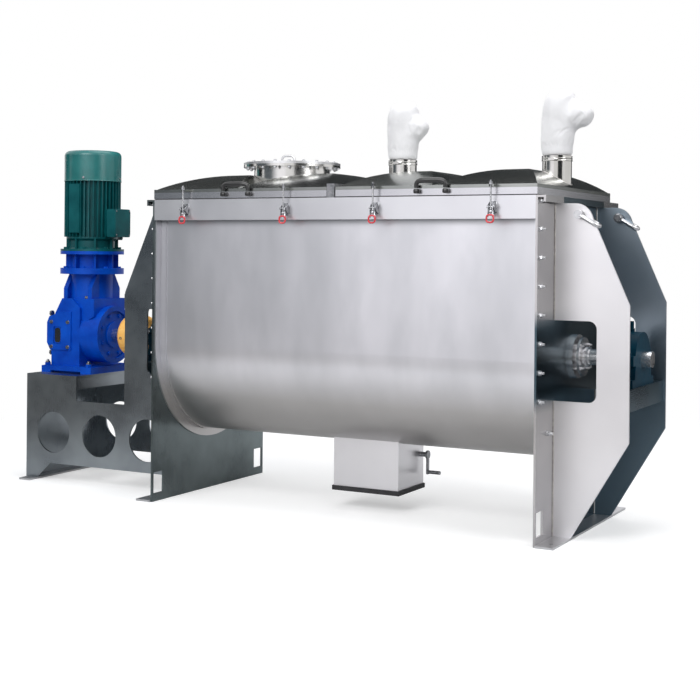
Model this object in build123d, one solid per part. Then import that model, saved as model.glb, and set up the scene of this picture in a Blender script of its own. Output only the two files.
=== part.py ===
from build123d import *
import math
import os

os.makedirs("parts", exist_ok=True)

# Ribbon blender, millimetres.
# X runs along the agitator shaft, drive end at -X. Y is across, front at -Y. Z is up.
# The origin is on the floor, below the middle of the trough, under the shaft.

# Trough and frame
trough_length = 2505.0      # over the outer faces of the two end plates
body_width = 1280.0
rim_height = 1862.0
shaft_height = 970.0
end_plate_t = 12.0
rim_reach = 65.0            # from the shell out to the end plates' edges
shell_t = 5.0
rim_depth = 125.0
rim_sheet = 5.0
flange_leg_reach = 53.0
flange_t = 10.0
flange_band = 50.0
flange_band_t = 8.0
end_rim_reach = 45.0
end_rim_depth = 36.0
window_inset = (15.0, 115.0)    # low cut-outs near the end plates' corners
window_z = (50.0, 180.0)
foot_t = 12.0
foot_reach = 104.0
foot_overhang = 10.0
foot_hole_reach = 62.4
anchor_hole_r = 11.0
anchor_inset = 80.0
end_bolt_across = 24.0
end_bolt_height = 10.0
end_bolt_drop = 26.0
end_bolt_pitch = 153.0
end_bolt_rows = 8
end_bolt_arc_count = 6

# Gussets, beams and drive base
gusset_inset = 277.0
gusset_t = 12.0
gusset_top = 1826.0
gusset_reach = 420.0
gusset_top_flat = 115.0
gusset_shoulder = (212.0, 1750.0)
gusset_waist_top = 1278.0
gusset_waist_low = 547.0
access_reach = 240.0
access_z = (750.0, 1190.0)
access_corner_r = 45.0
strap_z = (1174.0, 1268.0)
strap_t = 6.0
eye_place = (140.0, 1765.0)
eye_clearance = 0.3
beam_reach = (250.0, 404.0)
beam_top = 825.0
beam_depth = 120.0
beam_sheet = 12.0
drive_low_top = 546.0
drive_seat_top = 711.0
drive_foot_reach = 92.0
drive_heel_slope = 116.0
drive_floor_clearance = 118.0
drive_foot_overhang = 77.0
drive_anchor_overhang = 37.0
seat_t = 20.0
seat_rib_t = 60.0
seat_rib_depth = 75.0
seat_rib_inset = 60.0
tie_t = 10.0
drive_hole_r = 137.5
drive_hole_z = 326.0
drive_hole_inset = (240.0, 233.0)

# Lids
bar_width = 50.0
bar_height = 80.0
lid_gap = 4.0
lid_overhang = 5.0
lid_set_back = 5.0
lid_bottom = 1868.0
skirt_height = 56.0
lid_sheet = 4.0
dome_rise = 116.0
dome_margin = 14.0
gasket_width = 30.0
gasket_inset = 2.0
gasket_bar_width = 8.0      # the strip that lies beside the centre bar
hinge_reach = 52.0
hinge_z = 1932.0
hinge_offset = 430.0
hinge_pin_r = 12.0
hinge_barrel_r = 24.0
hinge_barrel = 60.0
hinge_cheek_t = 12.0
hinge_cheek_half = 20.0
hinge_cheek_z = (1772.0, 1842.0)
hinge_arm_z = (1894.0, 1916.0)
cheek_gap = 0.5
seat_gap = 0.3
running_gap = 0.05
keeper_reach = 46.0
keeper_slot_end = 18.0
keeper_prong = 8.0
keeper_t = 10.0
keeper_drop = 4.0

# Fittings on the lids
port_r = 240.0
port_wall = 5.0
port_flange_r = 307.0
port_flange_t = 15.0
port_flange_z = 2095.0
port_bolt_pcd = 565.0
port_bolt_count = 20
port_bolt_across = 24.0
port_bolt_height = 10.0
cover_grip_place = (60.0, -150.0)
cover_grip_size = (90.0, 38.0, 7.0)
nozzle_spacing = 984.0
nozzle_r = 84.0
nozzle_wall = 3.0
nozzle_top = 2112.0
nozzle_bead = (10.0, 3.0)
bag_clamp_band = (12.0, 32.0)
bag_clamp_t = 14.0
bag_r = 92.0
bag_neck_r = 86.0
bag_heights = (2455.0, 2480.0)
bag_leans = (8.0, 26.0)
bag_tips = ((140.0, 196.0, 74.0), (196.0, 172.0, 74.0))    # reach, drop and radius of the fallen end
grip_length = 175.0
grip_rod_r = 11.0
grip_stand = 52.0
grip_bend_r = 24.0
grip_foot = (14.0, 22.0)
grip_foot_drop = 24.0

# Over-centre clamps
clamp_offsets = (-1001.0, -292.0, 292.0, 1001.0)
clamp_pivot_z = 1800.0
clamp_pivot_stand = 38.0
clamp_arm = 26.0
clamp_lever_length = 88.0
clamp_rod_r = 5.0
clamp_pin_r = 4.0
clamp_nut_r = 9.0
clamp_nut_t = 10.0
clamp_rod_end = 20.0
clamp_eye = (8.0, 9.0)          # half width and radius of the rod's eye
clamp_plate = (22.0, 6.0)       # half width and thickness of the base
clamp_plate_reach = (40.0, 34.0)
clamp_ear_x = 18.0
clamp_cheek_x = 12.0
clamp_sheet_half = 2.0
clamp_edge = 8.0
clamp_grip = (16.0, 30.0)       # half width and length of the lever's grip
fork_gap = 1.0

# Agitator
shaft_tube_r = 75.0
shaft_tube_wall = 14.0
tube_end_gap = 8.0
stub_disc_t = 30.0
journal_r = 45.0
ribbon_clearance = 8.0
outer_ribbon_width = 70.0
inner_ribbon_share = 0.5872
inner_ribbon_width = 62.0
ribbon_t = 10.0
ribbon_pitch = 1180.0
ribbon_start = 1.0
ribbon_run = 1210.0
arm_tip_gap = 24.0
arm_r = 22.0
arm_count = 5

# Bearings, seals and coupling
bearing_reach = 325.0
bearing_width = 130.0
bearing_body_r = 152.0
bearing_bore_r = 95.0
bearing_ring_half = 30.0
bearing_base_half = 205.0
bearing_base_t = 42.0
bearing_lug = (50.0, 56.0)
bearing_joint_bolt_x = 38.0
bearing_nipple = (16.0, 18.0, 11.0, 40.0)   # boss radius and height, cap radius and height
shaft_tail = 118.0
seal_flange_r = 125.0
seal_flange_t = 20.0
seal_barrel_r = 92.0
gland_r = 110.0
gland_t = 14.0
gland_reach = 38.0
gland_nose_share = 0.62
gland_stud_share = 0.82
gland_stud_r = 6.0
gland_stud_tail = 22.0
gland_stud_count = 4
shaft_clearance = 0.5
collar_r = 56.0
collar_width = 24.0
collar_gap = 10.0
bearing_to_coupling = 107.0
coupling_length = 188.0
coupling_to_gearbox = 102.0
coupling_r = 138.5
coupling_hub_r = 62.0
coupling_hub_overlap = 12.0
coupling_shoulder = (42.0, 38.0)
coupling_shoulder_mid = (13.0, 12.0)
shaft_gap = 6.0
split_gap = 4.0
split_turn = 35.0

# Gearbox and motor
gearbox_length = 425.0
gearbox_half_width = 190.0
gearbox_foot_half = 230.0
gearbox_foot_t = 45.0
gearbox_foot_recess = (130.0, 14.0)
gearbox_front_right = 301.0     # from the drive end to the right edge of the front wall
gearbox_left = 55.0
gearbox_top = 1217.0
shoulder_z = 1040.0
shoulder_half_width = 168.0
side_cover_reach = 22.0
side_cover_z = (863.0, 912.0, 1050.0, 1092.0)
side_cover_inner = 175.0
sight_x = (80.0, 145.0)
sight_z = (905.0, 1022.0)
sight_depth = 8.0
motor_back = 250.0
tower_r = 142.0
tower_top = 1385.0
tower_rib_reach = (88.0, 122.0)
tower_rib_half = (95.0, 152.0)
tower_rib_shoulder = 1286.0
adapter_flange_r = 216.5
adapter_flange_t = 40.0
adapter_bolt_r = 185.0
lantern_r = 143.0
lantern_z = (1425.0, 1520.0)
lantern_rib_t = 14.0
lantern_flange_z = 1542.0
motor_bottom = 1557.0
endshield_r = 155.0
endshield_rib_t = 12.0
motor_body_r = 165.0
motor_ring_r = 177.0
fin_reach = 27.0
fin_count = 40
fin_z = (1640.0, 2022.0)
stator_pad_half = 44.0
stator_pad_z = (1668.0, 2000.0)
cowl_r = 194.0
cowl_top = 2231.0
cowl_sheet = 3.0
cowl_round = 34.0
cowl_slot_pitch = 26.0
cowl_slot_half = 5.0
cowl_slot_rows = 5
cowl_slot_rim = 50.0
motor_shaft_r = 30.0
motor_spigot = 18.0
rotor_depth = 39.0
fan_r = 150.0
fan_z = (50.0, 56.0, 100.0)
fan_hub_wall = 16.0
fan_blade_half = 3.0
fan_blade_count = 7
terminal_neck = (70.0, 10.0, 180.0)
terminal_half = 82.0
terminal_height = 190.0
terminal_depth = 65.0
terminal_gland = (34.0, 20.0, 15.0)
output_cover_r = 195.0
output_cover_t = 33.0
output_ring_r = 162.0
output_ring_depth = 12.0
output_bolt_share = 0.84
output_bolt_count = 8
output_bore_depth = 60.0

# Outlet and flap valve
outlet_length = 438.0
outlet_width = 350.0
outlet_sheet = 6.0
outlet_bottom = 130.0
collar_depth = 28.0
collar_t = 8.0
flap_length = 380.0
flap_width = 236.0
flap_t = 6.0
flap_gap = 3.0
flap_pivot_y = 140.0
flap_pivot_drop = 88.0
flap_shaft_r = 15.0
flap_shaft_tail = 14.0
flap_arm_x = 120.0
flap_arm_half = 6.0
flap_hub_r = 28.0
crank_length = 120.0
crank_reach = (40.0, 52.0)
crank_hub_r = 26.0
crank_knob = (78.0, 11.0, 14.0)     # length, radius and rise above the crank's end

# Lifting shackles
bow_length = 124.0
bow_half_width = 32.0
bow_rod_r = 12.0
bow_pin_r = 12.5
bow_eye_r = 24.0
bow_eye_half = 11.0
bow_nut = (19.0, 12.0)

# Sizes that follow
plate_face = trough_length / 2
plate_inner = plate_face - end_plate_t
half_width = body_width / 2
shell_outer_r = half_width - rim_reach
shell_inner_r = shell_outer_r - shell_t
flange_outer_r = shell_outer_r + flange_leg_reach
window_y = (half_width - window_inset[1], half_width - window_inset[0])
anchor_y = half_width - anchor_inset
gusset_y = half_width - gusset_inset
drive_foot_half = gusset_y + drive_foot_overhang
drive_anchor_y = gusset_y + drive_anchor_overhang
lid_inner_x = bar_width / 2 + lid_gap
lid_outer_x = plate_face - lid_overhang
lid_mid = (lid_inner_x + lid_outer_x) / 2
lid_half_y = half_width - lid_set_back
lid_top = lid_bottom + skirt_height
hinge_y = half_width + hinge_reach
outer_ribbon_r = shell_inner_r - ribbon_clearance
inner_ribbon_r = outer_ribbon_r * inner_ribbon_share
bearing_x = plate_face + bearing_reach
coupling_start = bearing_reach + bearing_width / 2 + bearing_to_coupling
coupling_reach = (coupling_start, coupling_start + coupling_length)
drive_length = coupling_reach[1] + coupling_to_gearbox + output_cover_t + gearbox_length
drive_end = -plate_face - drive_length
drive_step_reach = drive_length - gearbox_length
drive_hole_reach = (drive_hole_inset[0], (drive_hole_inset[0] + drive_length - drive_hole_inset[1]) / 2,
                    drive_length - drive_hole_inset[1])
motor_x = drive_end + motor_back
gearbox_right = drive_end + gearbox_length
arm_spacing = ribbon_pitch / 4
flap_pivot_z = shaft_height - shell_inner_r - flap_pivot_drop


def save(name, *solids):
    """Write one node; several separate solids stay separate in it."""
    shape = solids[0] if len(solids) == 1 else Compound(children=list(solids))
    export_step(shape, f"parts/{name}.step")


def block(x0, x1, y0, y1, z0, z1):
    """A rectangular block between two corners."""
    centre = Pos((x0 + x1) / 2, (y0 + y1) / 2, (z0 + z1) / 2)
    return centre * Box(abs(x1 - x0), abs(y1 - y0), abs(z1 - z0))


def bar_x(x0, x1, y, z, r):
    """A round bar along X."""
    return Pos((x0 + x1) / 2, y, z) * Rot(0, 90, 0) * Cylinder(r, abs(x1 - x0))


def bar_y(x, y0, y1, z, r):
    """A round bar along Y."""
    return Pos(x, (y0 + y1) / 2, z) * Rot(90, 0, 0) * Cylinder(r, abs(y1 - y0))


def bar_z(x, y, z0, z1, r):
    """A round bar along Z."""
    return Pos(x, y, (z0 + z1) / 2) * Cylinder(r, abs(z1 - z0))


def plane_xz(y):
    """A plane facing the front, with X to the right and Z up."""
    return Plane(origin=(0, y, 0), x_dir=(1, 0, 0), z_dir=(0, -1, 0))


def plane_yz(x):
    """A plane facing +X, with Y to the right and Z up."""
    return Plane(origin=(x, 0, 0), x_dir=(0, 1, 0), z_dir=(1, 0, 0))


def slab_xz(outline, y, thickness):
    """A flat plate in the XZ plane, its middle at y."""
    return extrude(plane_xz(y) * outline, thickness / 2, both=True)


def slab_yz(outline, x0, x1):
    """A plate or run along X of an outline in the YZ plane."""
    return extrude(plane_yz(x0) * outline, x1 - x0)


def outline_of(*points):
    """A face with straight sides through the points."""
    return make_face(Polyline(*points, close=True))


def mirrored_x(shape):
    """The same piece on the other end of the machine."""
    return mirror(shape, about=Plane.YZ)


def hex_head_x(x, y, z, across, height):
    """A hexagon bolt head standing on a face at x, pointing away from the trough."""
    side = 1 if x > 0 else -1
    sketch = Pos(y, z) * RegularPolygon(across / math.sqrt(3), 6)
    return slab_yz(sketch, x, x + side * height)


def hex_head_z(x, y, z, across, height):
    """A hexagon bolt head standing on a level face at z."""
    return extrude(Pos(x, y, z) * RegularPolygon(across / math.sqrt(3), 6), height)


def u_outline(r, top):
    """The trough's U: a half circle below the shaft with straight sides up to top."""
    sides = Pos(0, (shaft_height + top) / 2) * Rectangle(2 * r, top - shaft_height)
    return Pos(0, shaft_height) * Circle(r) + sides


# Trough shell: a rolled U of sheet with the outlet opening in its bottom
flap_opening = block(-flap_length / 2 - flap_gap, flap_length / 2 + flap_gap,
                     -flap_width / 2 - flap_gap, flap_width / 2 + flap_gap,
                     0, shaft_height - shell_inner_r / 2)
shell_wall = u_outline(shell_outer_r, rim_height)
shell_wall -= Pos(0, shaft_height) * Circle(shell_inner_r)
shell_wall -= Pos(0, (shaft_height + rim_height) / 2) * Rectangle(
    2 * shell_inner_r, rim_height - shaft_height + 1)
shell_wall -= Pos(0, shaft_height + shell_inner_r / 4) * Rectangle(2 * shell_inner_r, shell_inner_r / 2)
trough_shell = slab_yz(shell_wall, -plate_inner, plate_inner) - flap_opening
save("trough_shell", trough_shell)

# Long rims: folded channels welded along the top of the shell
rim_profile = outline_of(
    (-shell_outer_r, rim_height), (-half_width, rim_height),
    (-half_width, rim_height - rim_depth), (-shell_outer_r, rim_height - rim_depth),
    (-shell_outer_r, rim_height - rim_depth + rim_sheet),
    (-half_width + rim_sheet, rim_height - rim_depth + rim_sheet),
    (-half_width + rim_sheet, rim_height - rim_sheet), (-shell_outer_r, rim_height - rim_sheet))
front_rim = slab_yz(rim_profile, -plate_inner, plate_inner)
save("trough_rims", front_rim, mirror(front_rim, about=Plane.XZ))

# Trough end flanges: a band round the shell with a bolting leg against the end plate
flange_top = rim_height - rim_depth
flange_leg = u_outline(flange_outer_r, flange_top) - u_outline(shell_outer_r, flange_top)
flange_strip = u_outline(shell_outer_r + flange_band_t, flange_top)
flange_strip -= u_outline(shell_outer_r, flange_top)
trough_flange = slab_yz(flange_leg, plate_inner - flange_t, plate_inner)
trough_flange += slab_yz(flange_strip, plate_inner - flange_band, plate_inner)
save("trough_flanges", trough_flange, mirrored_x(trough_flange))

# End plates with a folded top edge, low cut-outs and the shaft hole
end_plate = block(plate_inner, plate_face, -half_width, half_width, 0, rim_height)
end_plate += block(plate_face, plate_face + end_rim_reach, -half_width, half_width,
                   rim_height - end_plate_t, rim_height)
end_plate += block(plate_face + end_rim_reach - end_plate_t, plate_face + end_rim_reach,
                   -half_width, half_width, rim_height - end_rim_depth, rim_height)
end_plate -= bar_x(plate_inner - 1, plate_face + 1, 0, shaft_height, seal_barrel_r)
for side in (-1, 1):
    end_plate -= block(plate_inner - 1, plate_face + 1, side * window_y[0], side * window_y[1], *window_z)
save("end_plate_right", end_plate)
save("end_plate_left", mirrored_x(end_plate))

# Bolt heads that hold the shell's flanges to the end plates: two rows and an arc below the shaft
bolt_y = (shell_outer_r + flange_outer_r) / 2
bolt_top = rim_height - end_bolt_drop
bolt_places = []
for row in range(end_bolt_rows):
    bolt_places += [(side * bolt_y, bolt_top - row * end_bolt_pitch) for side in (-1, 1)]
arc_start = math.asin((shaft_height - bolt_places[-1][1]) / bolt_y)
arc_step = (math.pi - 2 * arc_start) / (end_bolt_arc_count + 1)
for turn in range(1, end_bolt_arc_count + 1):
    angle = arc_start + turn * arc_step
    bolt_places.append((bolt_y * math.cos(angle), shaft_height - bolt_y * math.sin(angle)))
bolt_heads = []
for side in (-1, 1):
    for y, z in bolt_places:
        bolt_heads.append(hex_head_x(side * plate_face, y, z, end_bolt_across, end_bolt_height))
save("end_plate_bolts", *bolt_heads)

# Foot plates with anchor holes
foot = block(plate_face, plate_face + foot_reach, -half_width - foot_overhang,
             half_width + foot_overhang, 0, foot_t)
for side in (-1, 1):
    foot -= bar_z(plate_face + foot_hole_reach, side * anchor_y, -1, foot_t + 1, anchor_hole_r)
drive_foot = block(drive_end, drive_end + drive_foot_reach, -drive_foot_half, drive_foot_half, 0, foot_t)
for side in (-1, 1):
    drive_foot -= bar_z(drive_end + drive_foot_reach / 2, side * drive_anchor_y, -1, foot_t + 1,
                        anchor_hole_r)
save("foot_plates", foot, mirrored_x(foot), drive_foot)


def access_window(y):
    """The opening in a gusset that gives a hand access to the shaft seal."""
    z0, z1 = access_z
    cut = Pos(access_reach / 2, (z0 + z1) / 2) * Rectangle(access_reach, z1 - z0)
    cut = fillet(cut.vertices().group_by(Axis.X)[-1], access_corner_r)
    return Pos(plate_face, 0, 0) * slab_xz(cut, y, 2 * gusset_t)


def shackle_eye(y):
    """The hole near a gusset's top that a lifting shackle's pin goes through."""
    x, z = eye_place
    return bar_y(plate_face + x, y - gusset_t, y + gusset_t, z, bow_pin_r + eye_clearance)


def gusset_head(low_points):
    """A gusset's outline from the plate face outward, closed through low_points."""
    sx, sz = gusset_shoulder
    top = Line((0, gusset_top), (gusset_top_flat, gusset_top))
    shoulder = TangentArc((gusset_top_flat, gusset_top), (sx, sz), tangent=(1, 0))
    slope = Polyline((sx, sz), (gusset_reach, gusset_waist_top), *low_points, (0, gusset_top))
    return make_face([top, shoulder, slope])


# Right gussets: deep plates standing on the foot plate
right_outline = gusset_head([(gusset_reach, gusset_waist_low), (foot_reach, foot_t), (0, foot_t)])
for name, y in (("gusset_right_front", -gusset_y), ("gusset_right_rear", gusset_y)):
    gusset = Pos(plate_face, 0, 0) * slab_xz(right_outline, y, gusset_t)
    gusset -= access_window(y)
    gusset -= shackle_eye(y)
    save(name, gusset)

# Drive side plates: the left gussets run on into the base that carries the drive
step = drive_step_reach
heel = drive_length - drive_foot_reach
low_points = [
    (gusset_reach, drive_low_top), (step, drive_low_top), (step, drive_seat_top),
    (drive_length, drive_seat_top), (drive_length, foot_t), (heel, foot_t),
    (heel - drive_heel_slope, drive_floor_clearance), (0, drive_floor_clearance)]
left_outline = gusset_head(low_points)
for name, y in (("drive_side_plate_front", -gusset_y), ("drive_side_plate_rear", gusset_y)):
    side_plate = Pos(plate_face, 0, 0) * slab_xz(left_outline, y, gusset_t)
    side_plate -= access_window(y)
    side_plate -= shackle_eye(y)
    for reach in drive_hole_reach:
        side_plate -= bar_y(plate_face + reach, y - gusset_t, y + gusset_t, drive_hole_z, drive_hole_r)
    outward = math.copysign(gusset_t / 2, y)
    strap = block(plate_face, plate_face + gusset_reach, y + outward,
                  y + outward + math.copysign(strap_t, y), *strap_z)
    save(name, mirrored_x(side_plate + strap))

# Bearing beams: channels across between the gussets
beam_half = gusset_y - gusset_t / 2
beam_x0 = plate_face + beam_reach[0]
beam_x1 = plate_face + beam_reach[1]
beam = block(beam_x0, beam_x1, -beam_half, beam_half, beam_top - beam_depth, beam_top)
beam -= block(beam_x0 + beam_sheet, beam_x1 - beam_sheet, -beam_half, beam_half,
              beam_top - beam_depth - 1, beam_top - beam_sheet)
save("bearing_beams", beam, mirrored_x(beam))

# Gearbox seat: cross channels and a thick pad between the drive side plates
seat_bottom = drive_seat_top - seat_t
seat = block(drive_end, gearbox_right, -beam_half, beam_half, seat_bottom, drive_seat_top)
for x in (drive_end + seat_rib_inset, gearbox_right - seat_rib_inset):
    seat += block(x - seat_rib_t / 2, x + seat_rib_t / 2, -beam_half, beam_half,
                  seat_bottom - seat_rib_depth, seat_bottom)
seat += block(drive_end, drive_end + tie_t, -beam_half, beam_half, foot_t, seat_bottom)
save("gearbox_seat", seat)

# Centre bar between the two lids
bar = block(-bar_width / 2, bar_width / 2, -half_width, half_width, rim_height, rim_height + bar_height)
save("centre_bar", bar)

# Gaskets that the lids press on
gaskets = []
for side in (-1, 1):
    x0 = side * (lid_inner_x + gasket_inset)
    x1 = side * (lid_outer_x - gasket_inset)
    y1 = lid_half_y - gasket_inset
    ring = block(x0, x1, -y1, y1, rim_height, lid_bottom - seat_gap)
    ring -= block(x0 + side * gasket_bar_width, x1 - side * gasket_width, -y1 + gasket_width, y1 - gasket_width,
                  rim_height - 1, lid_bottom)
    gaskets.append(ring)
save("lid_gaskets", *gaskets)


def arch_x(half_span, rise, extra, x, length_y):
    """A run along Y of a circular segment that spans X."""
    r = (half_span ** 2 + rise ** 2) / (2 * rise)
    centre_z = lid_top + rise - r
    return bar_y(x, -length_y / 2, length_y / 2, centre_z, r + extra)


def arch_y(half_span, rise, extra, x, length_x):
    """A run along X of a circular segment that spans Y."""
    r = (half_span ** 2 + rise ** 2) / (2 * rise)
    centre_z = lid_top + rise - r
    return bar_x(x - length_x / 2, x + length_x / 2, 0, centre_z, r + extra)


def dome(x, half_x, half_y, extra):
    """A vaulted panel: two crossing arches, above the lid's flat top."""
    vault = arch_x(half_x, dome_rise, extra, x, 2 * half_y)
    vault &= arch_y(half_y, dome_rise, extra, x, 2 * half_x)
    return vault & block(x - half_x, x + half_x, -half_y, half_y, lid_top - lid_sheet, lid_top + 2 * dome_rise)


# Lid shells: a skirt frame with two vaulted panels each
panel_half_x = (lid_outer_x - lid_inner_x) / 4 - dome_margin / 2
panel_half_y = lid_half_y - dome_margin
lid_box = block(lid_inner_x, lid_outer_x, -lid_half_y, lid_half_y, lid_bottom, lid_top)
lid_inside = block(lid_inner_x + lid_sheet, lid_outer_x - lid_sheet,
                   -lid_half_y + lid_sheet, lid_half_y - lid_sheet, lid_bottom - 1, lid_top - lid_sheet)
panel_centres = (lid_mid - (lid_outer_x - lid_inner_x) / 4, lid_mid + (lid_outer_x - lid_inner_x) / 4)
lid_shell = lid_box
for x in panel_centres:
    lid_shell += dome(x, panel_half_x, panel_half_y, 0)
lid_shell -= lid_inside
for x in panel_centres:
    lid_shell -= dome(x, panel_half_x - lid_sheet, panel_half_y - lid_sheet, -lid_sheet)


def hinge_arm(x):
    """The lid's half of a hinge: an arm on the rear skirt with a barrel round the pin."""
    arm = block(x - hinge_barrel / 2, x + hinge_barrel / 2, lid_half_y, hinge_y, *hinge_arm_z)
    arm += bar_x(x - hinge_barrel / 2, x + hinge_barrel / 2, hinge_y, hinge_z, hinge_barrel_r)
    return arm - bar_x(x - hinge_barrel, x + hinge_barrel, hinge_y, hinge_z, hinge_pin_r + running_gap)


def keeper(x):
    """The clamp's keeper on the front skirt: a forked shelf, open to the front."""
    front = -lid_half_y
    half_slot = clamp_nut_r + fork_gap
    half_shelf = half_slot + keeper_prong
    top = lid_top - keeper_drop
    shelf = block(x - half_shelf, x + half_shelf, front - keeper_reach, front, top - keeper_t, top)
    return shelf - block(x - half_slot, x + half_slot, front - keeper_reach - 1, front - keeper_slot_end,
                         top - keeper_t - 1, top + 1)


hinge_places = [side * (lid_mid + offset) for side in (-1, 1) for offset in (-hinge_offset, hinge_offset)]


def lid_with_fittings(side):
    """One lid's weldment: shell, hinge arms and clamp keepers."""
    lid = lid_shell if side > 0 else mirrored_x(lid_shell)
    for x in hinge_places:
        if x * side > 0:
            lid += hinge_arm(x)
    for x in clamp_offsets:
        if x * side > 0:
            lid += keeper(x)
    return lid


lid_left = lid_with_fittings(-1)
lid_right = lid_with_fittings(1)

# Hinge brackets on the rear rim, each with its pin
brackets = []
for x in hinge_places:
    cheek_reach = hinge_barrel / 2 + cheek_gap
    pin_half = cheek_reach + hinge_cheek_t
    bracket = bar_x(x - pin_half, x + pin_half, hinge_y, hinge_z, hinge_pin_r)
    near, far = hinge_y - hinge_cheek_half, hinge_y + hinge_cheek_half
    cheek = outline_of((half_width, hinge_cheek_z[1]), (half_width, hinge_cheek_z[0]),
                       (far, hinge_z - 2 * hinge_cheek_half), (far, hinge_z), (near, hinge_z),
                       (near, hinge_z - 2 * hinge_cheek_half))
    cheek += Pos(hinge_y, hinge_z) * Circle(hinge_cheek_half)
    for start in (x - pin_half, x + cheek_reach):
        bracket += slab_yz(cheek, start, start + hinge_cheek_t)
    brackets.append(bracket)
save("hinge_brackets", *brackets)

def biggest(shape):
    """The largest solid of a cut shape, without the slivers that stay inside the lid."""
    return max(shape.solids(), key=lambda solid: solid.volume)


# The lid's whole outside, as a tool that trims a pipe to the vaults it stands on
lid_body = lid_box - lid_inside
for x in panel_centres:
    lid_body += dome(x, panel_half_x, panel_half_y, 0)

# Charging port on the left lid: a short pipe with a flange and a bolted blind cover
port_x = -lid_mid
port_cut = bar_z(port_x, 0, lid_bottom, port_flange_z, port_r - port_wall)
port_pipe = bar_z(port_x, 0, lid_top - lid_sheet, port_flange_z, port_r) - port_cut
port_pipe = biggest(port_pipe - mirrored_x(lid_body))
port_flange = bar_z(port_x, 0, port_flange_z - port_flange_t, port_flange_z, port_flange_r)
port_flange -= bar_z(port_x, 0, port_flange_z - port_flange_t - 1, port_flange_z + 1, port_r)
save("charging_port", port_pipe, port_flange)
save("lid_left", lid_left - port_cut)

cover_top = port_flange_z + port_flange_t
port_cover = bar_z(port_x, 0, port_flange_z, cover_top, port_flange_r)
port_bolts = []
for index in range(port_bolt_count):
    angle = 2 * math.pi * (index + 0.5) / port_bolt_count
    port_bolts.append(hex_head_z(port_x + port_bolt_pcd / 2 * math.cos(angle),
                                 port_bolt_pcd / 2 * math.sin(angle),
                                 cover_top, port_bolt_across, port_bolt_height))
save("port_bolts", *port_bolts)


def loop_grip(x, y, z, length, stand, rod_r):
    """A bow grip of round bar: two legs and a cross bar with round corners, in a vertical plane."""
    path = FilletPolyline((x - length / 2, y, z), (x - length / 2, y, z + stand),
                          (x + length / 2, y, z + stand), (x + length / 2, y, z), radius=grip_bend_r)
    section = Plane(origin=(x - length / 2, y, z), z_dir=(0, 0, 1)) * Circle(rod_r)
    return sweep(section, path=path)


# Lid grips on the front edge of each lid, each on two foot blocks
foot_half, foot_height = grip_foot
grip_stand_off = 2 * grip_rod_r + 10
for name, side in (("lid_grip_left", -1), ("lid_grip_right", 1)):
    grip = loop_grip(side * lid_mid, -lid_half_y - grip_stand_off + grip_rod_r, lid_top - grip_foot_drop - 2,
                     grip_length, grip_stand, grip_rod_r)
    for end in (-1, 1):
        x = side * lid_mid + end * grip_length / 2
        grip += block(x - foot_half, x + foot_half, -lid_half_y - grip_stand_off, -lid_half_y,
                      lid_top - grip_foot_drop - foot_height, lid_top - grip_foot_drop)
    save(name, grip)
cover_grip = loop_grip(port_x + cover_grip_place[0], cover_grip_place[1], cover_top, *cover_grip_size)
save("port_cover", port_cover, cover_grip)


def lofted(stations):
    """A loft through circles given as (x, z, radius, tilt in degrees about Y)."""
    return loft([Pos(x, 0, z) * Rot(0, tilt, 0) * Circle(r) for x, z, r, tilt in stations])


def dust_bag(x, top, lean, tip):
    """A filter bag: an upright sleeve that leans as it rises, with its slack end fallen over to +X."""
    bottom = nozzle_top + seat_gap
    height = top - bottom
    shares = ((0.0, bag_neck_r / bag_r), (0.2, 1.0), (0.55, 1.04), (0.82, 1.0), (0.95, 0.78), (1.0, 0.45))
    sleeve = lofted([(x + lean * share ** 2, bottom + share * height, bag_r * size, 0) for share, size in shares])
    reach, drop, tip_r = tip
    start, end = (x + lean, top - 1.05 * bag_r), (x + reach, top - drop)
    tilt = math.degrees(math.atan2(end[0] - start[0], end[1] - start[1]))
    shares = ((0.0, 0.62), (0.3, 0.98), (0.65, 1.0), (0.9, 0.8), (1.0, 0.42))
    fallen = lofted([(start[0] + (end[0] - start[0]) * share, start[1] + (end[1] - start[1]) * share,
                      tip_r * size, tilt) for share, size in shares])
    return sleeve + fallen


# Dust nozzles and bags on the right lid
nozzle_places = (lid_mid - nozzle_spacing / 2, lid_mid + nozzle_spacing / 2)
lid_right_open = lid_right
nozzles = []
bag_clamps = []
for index, x in enumerate(nozzle_places):
    nozzle_cut = bar_z(x, 0, lid_bottom, nozzle_top, nozzle_r - nozzle_wall)
    lid_right_open -= nozzle_cut
    nozzle = biggest(bar_z(x, 0, lid_top, nozzle_top, nozzle_r) - nozzle_cut - lid_body)
    bead_depth, bead_reach = nozzle_bead
    nozzle += bar_z(x, 0, nozzle_top - bead_depth, nozzle_top, nozzle_r + bead_reach) - nozzle_cut
    nozzles.append(nozzle)
    band_top, band_bottom = nozzle_top - bag_clamp_band[0], nozzle_top - bag_clamp_band[1]
    bag_clamps.append(bar_z(x, 0, band_bottom, band_top, nozzle_r + bag_clamp_t)
                      - bar_z(x, 0, band_bottom - 1, band_top + 1, nozzle_r + seat_gap))
    save(f"dust_bag_{index + 1}", dust_bag(x, bag_heights[index], bag_leans[index], bag_tips[index]))
save("dust_nozzles", *nozzles)
save("bag_clamps", *bag_clamps)
save("lid_right", lid_right_open)

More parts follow.
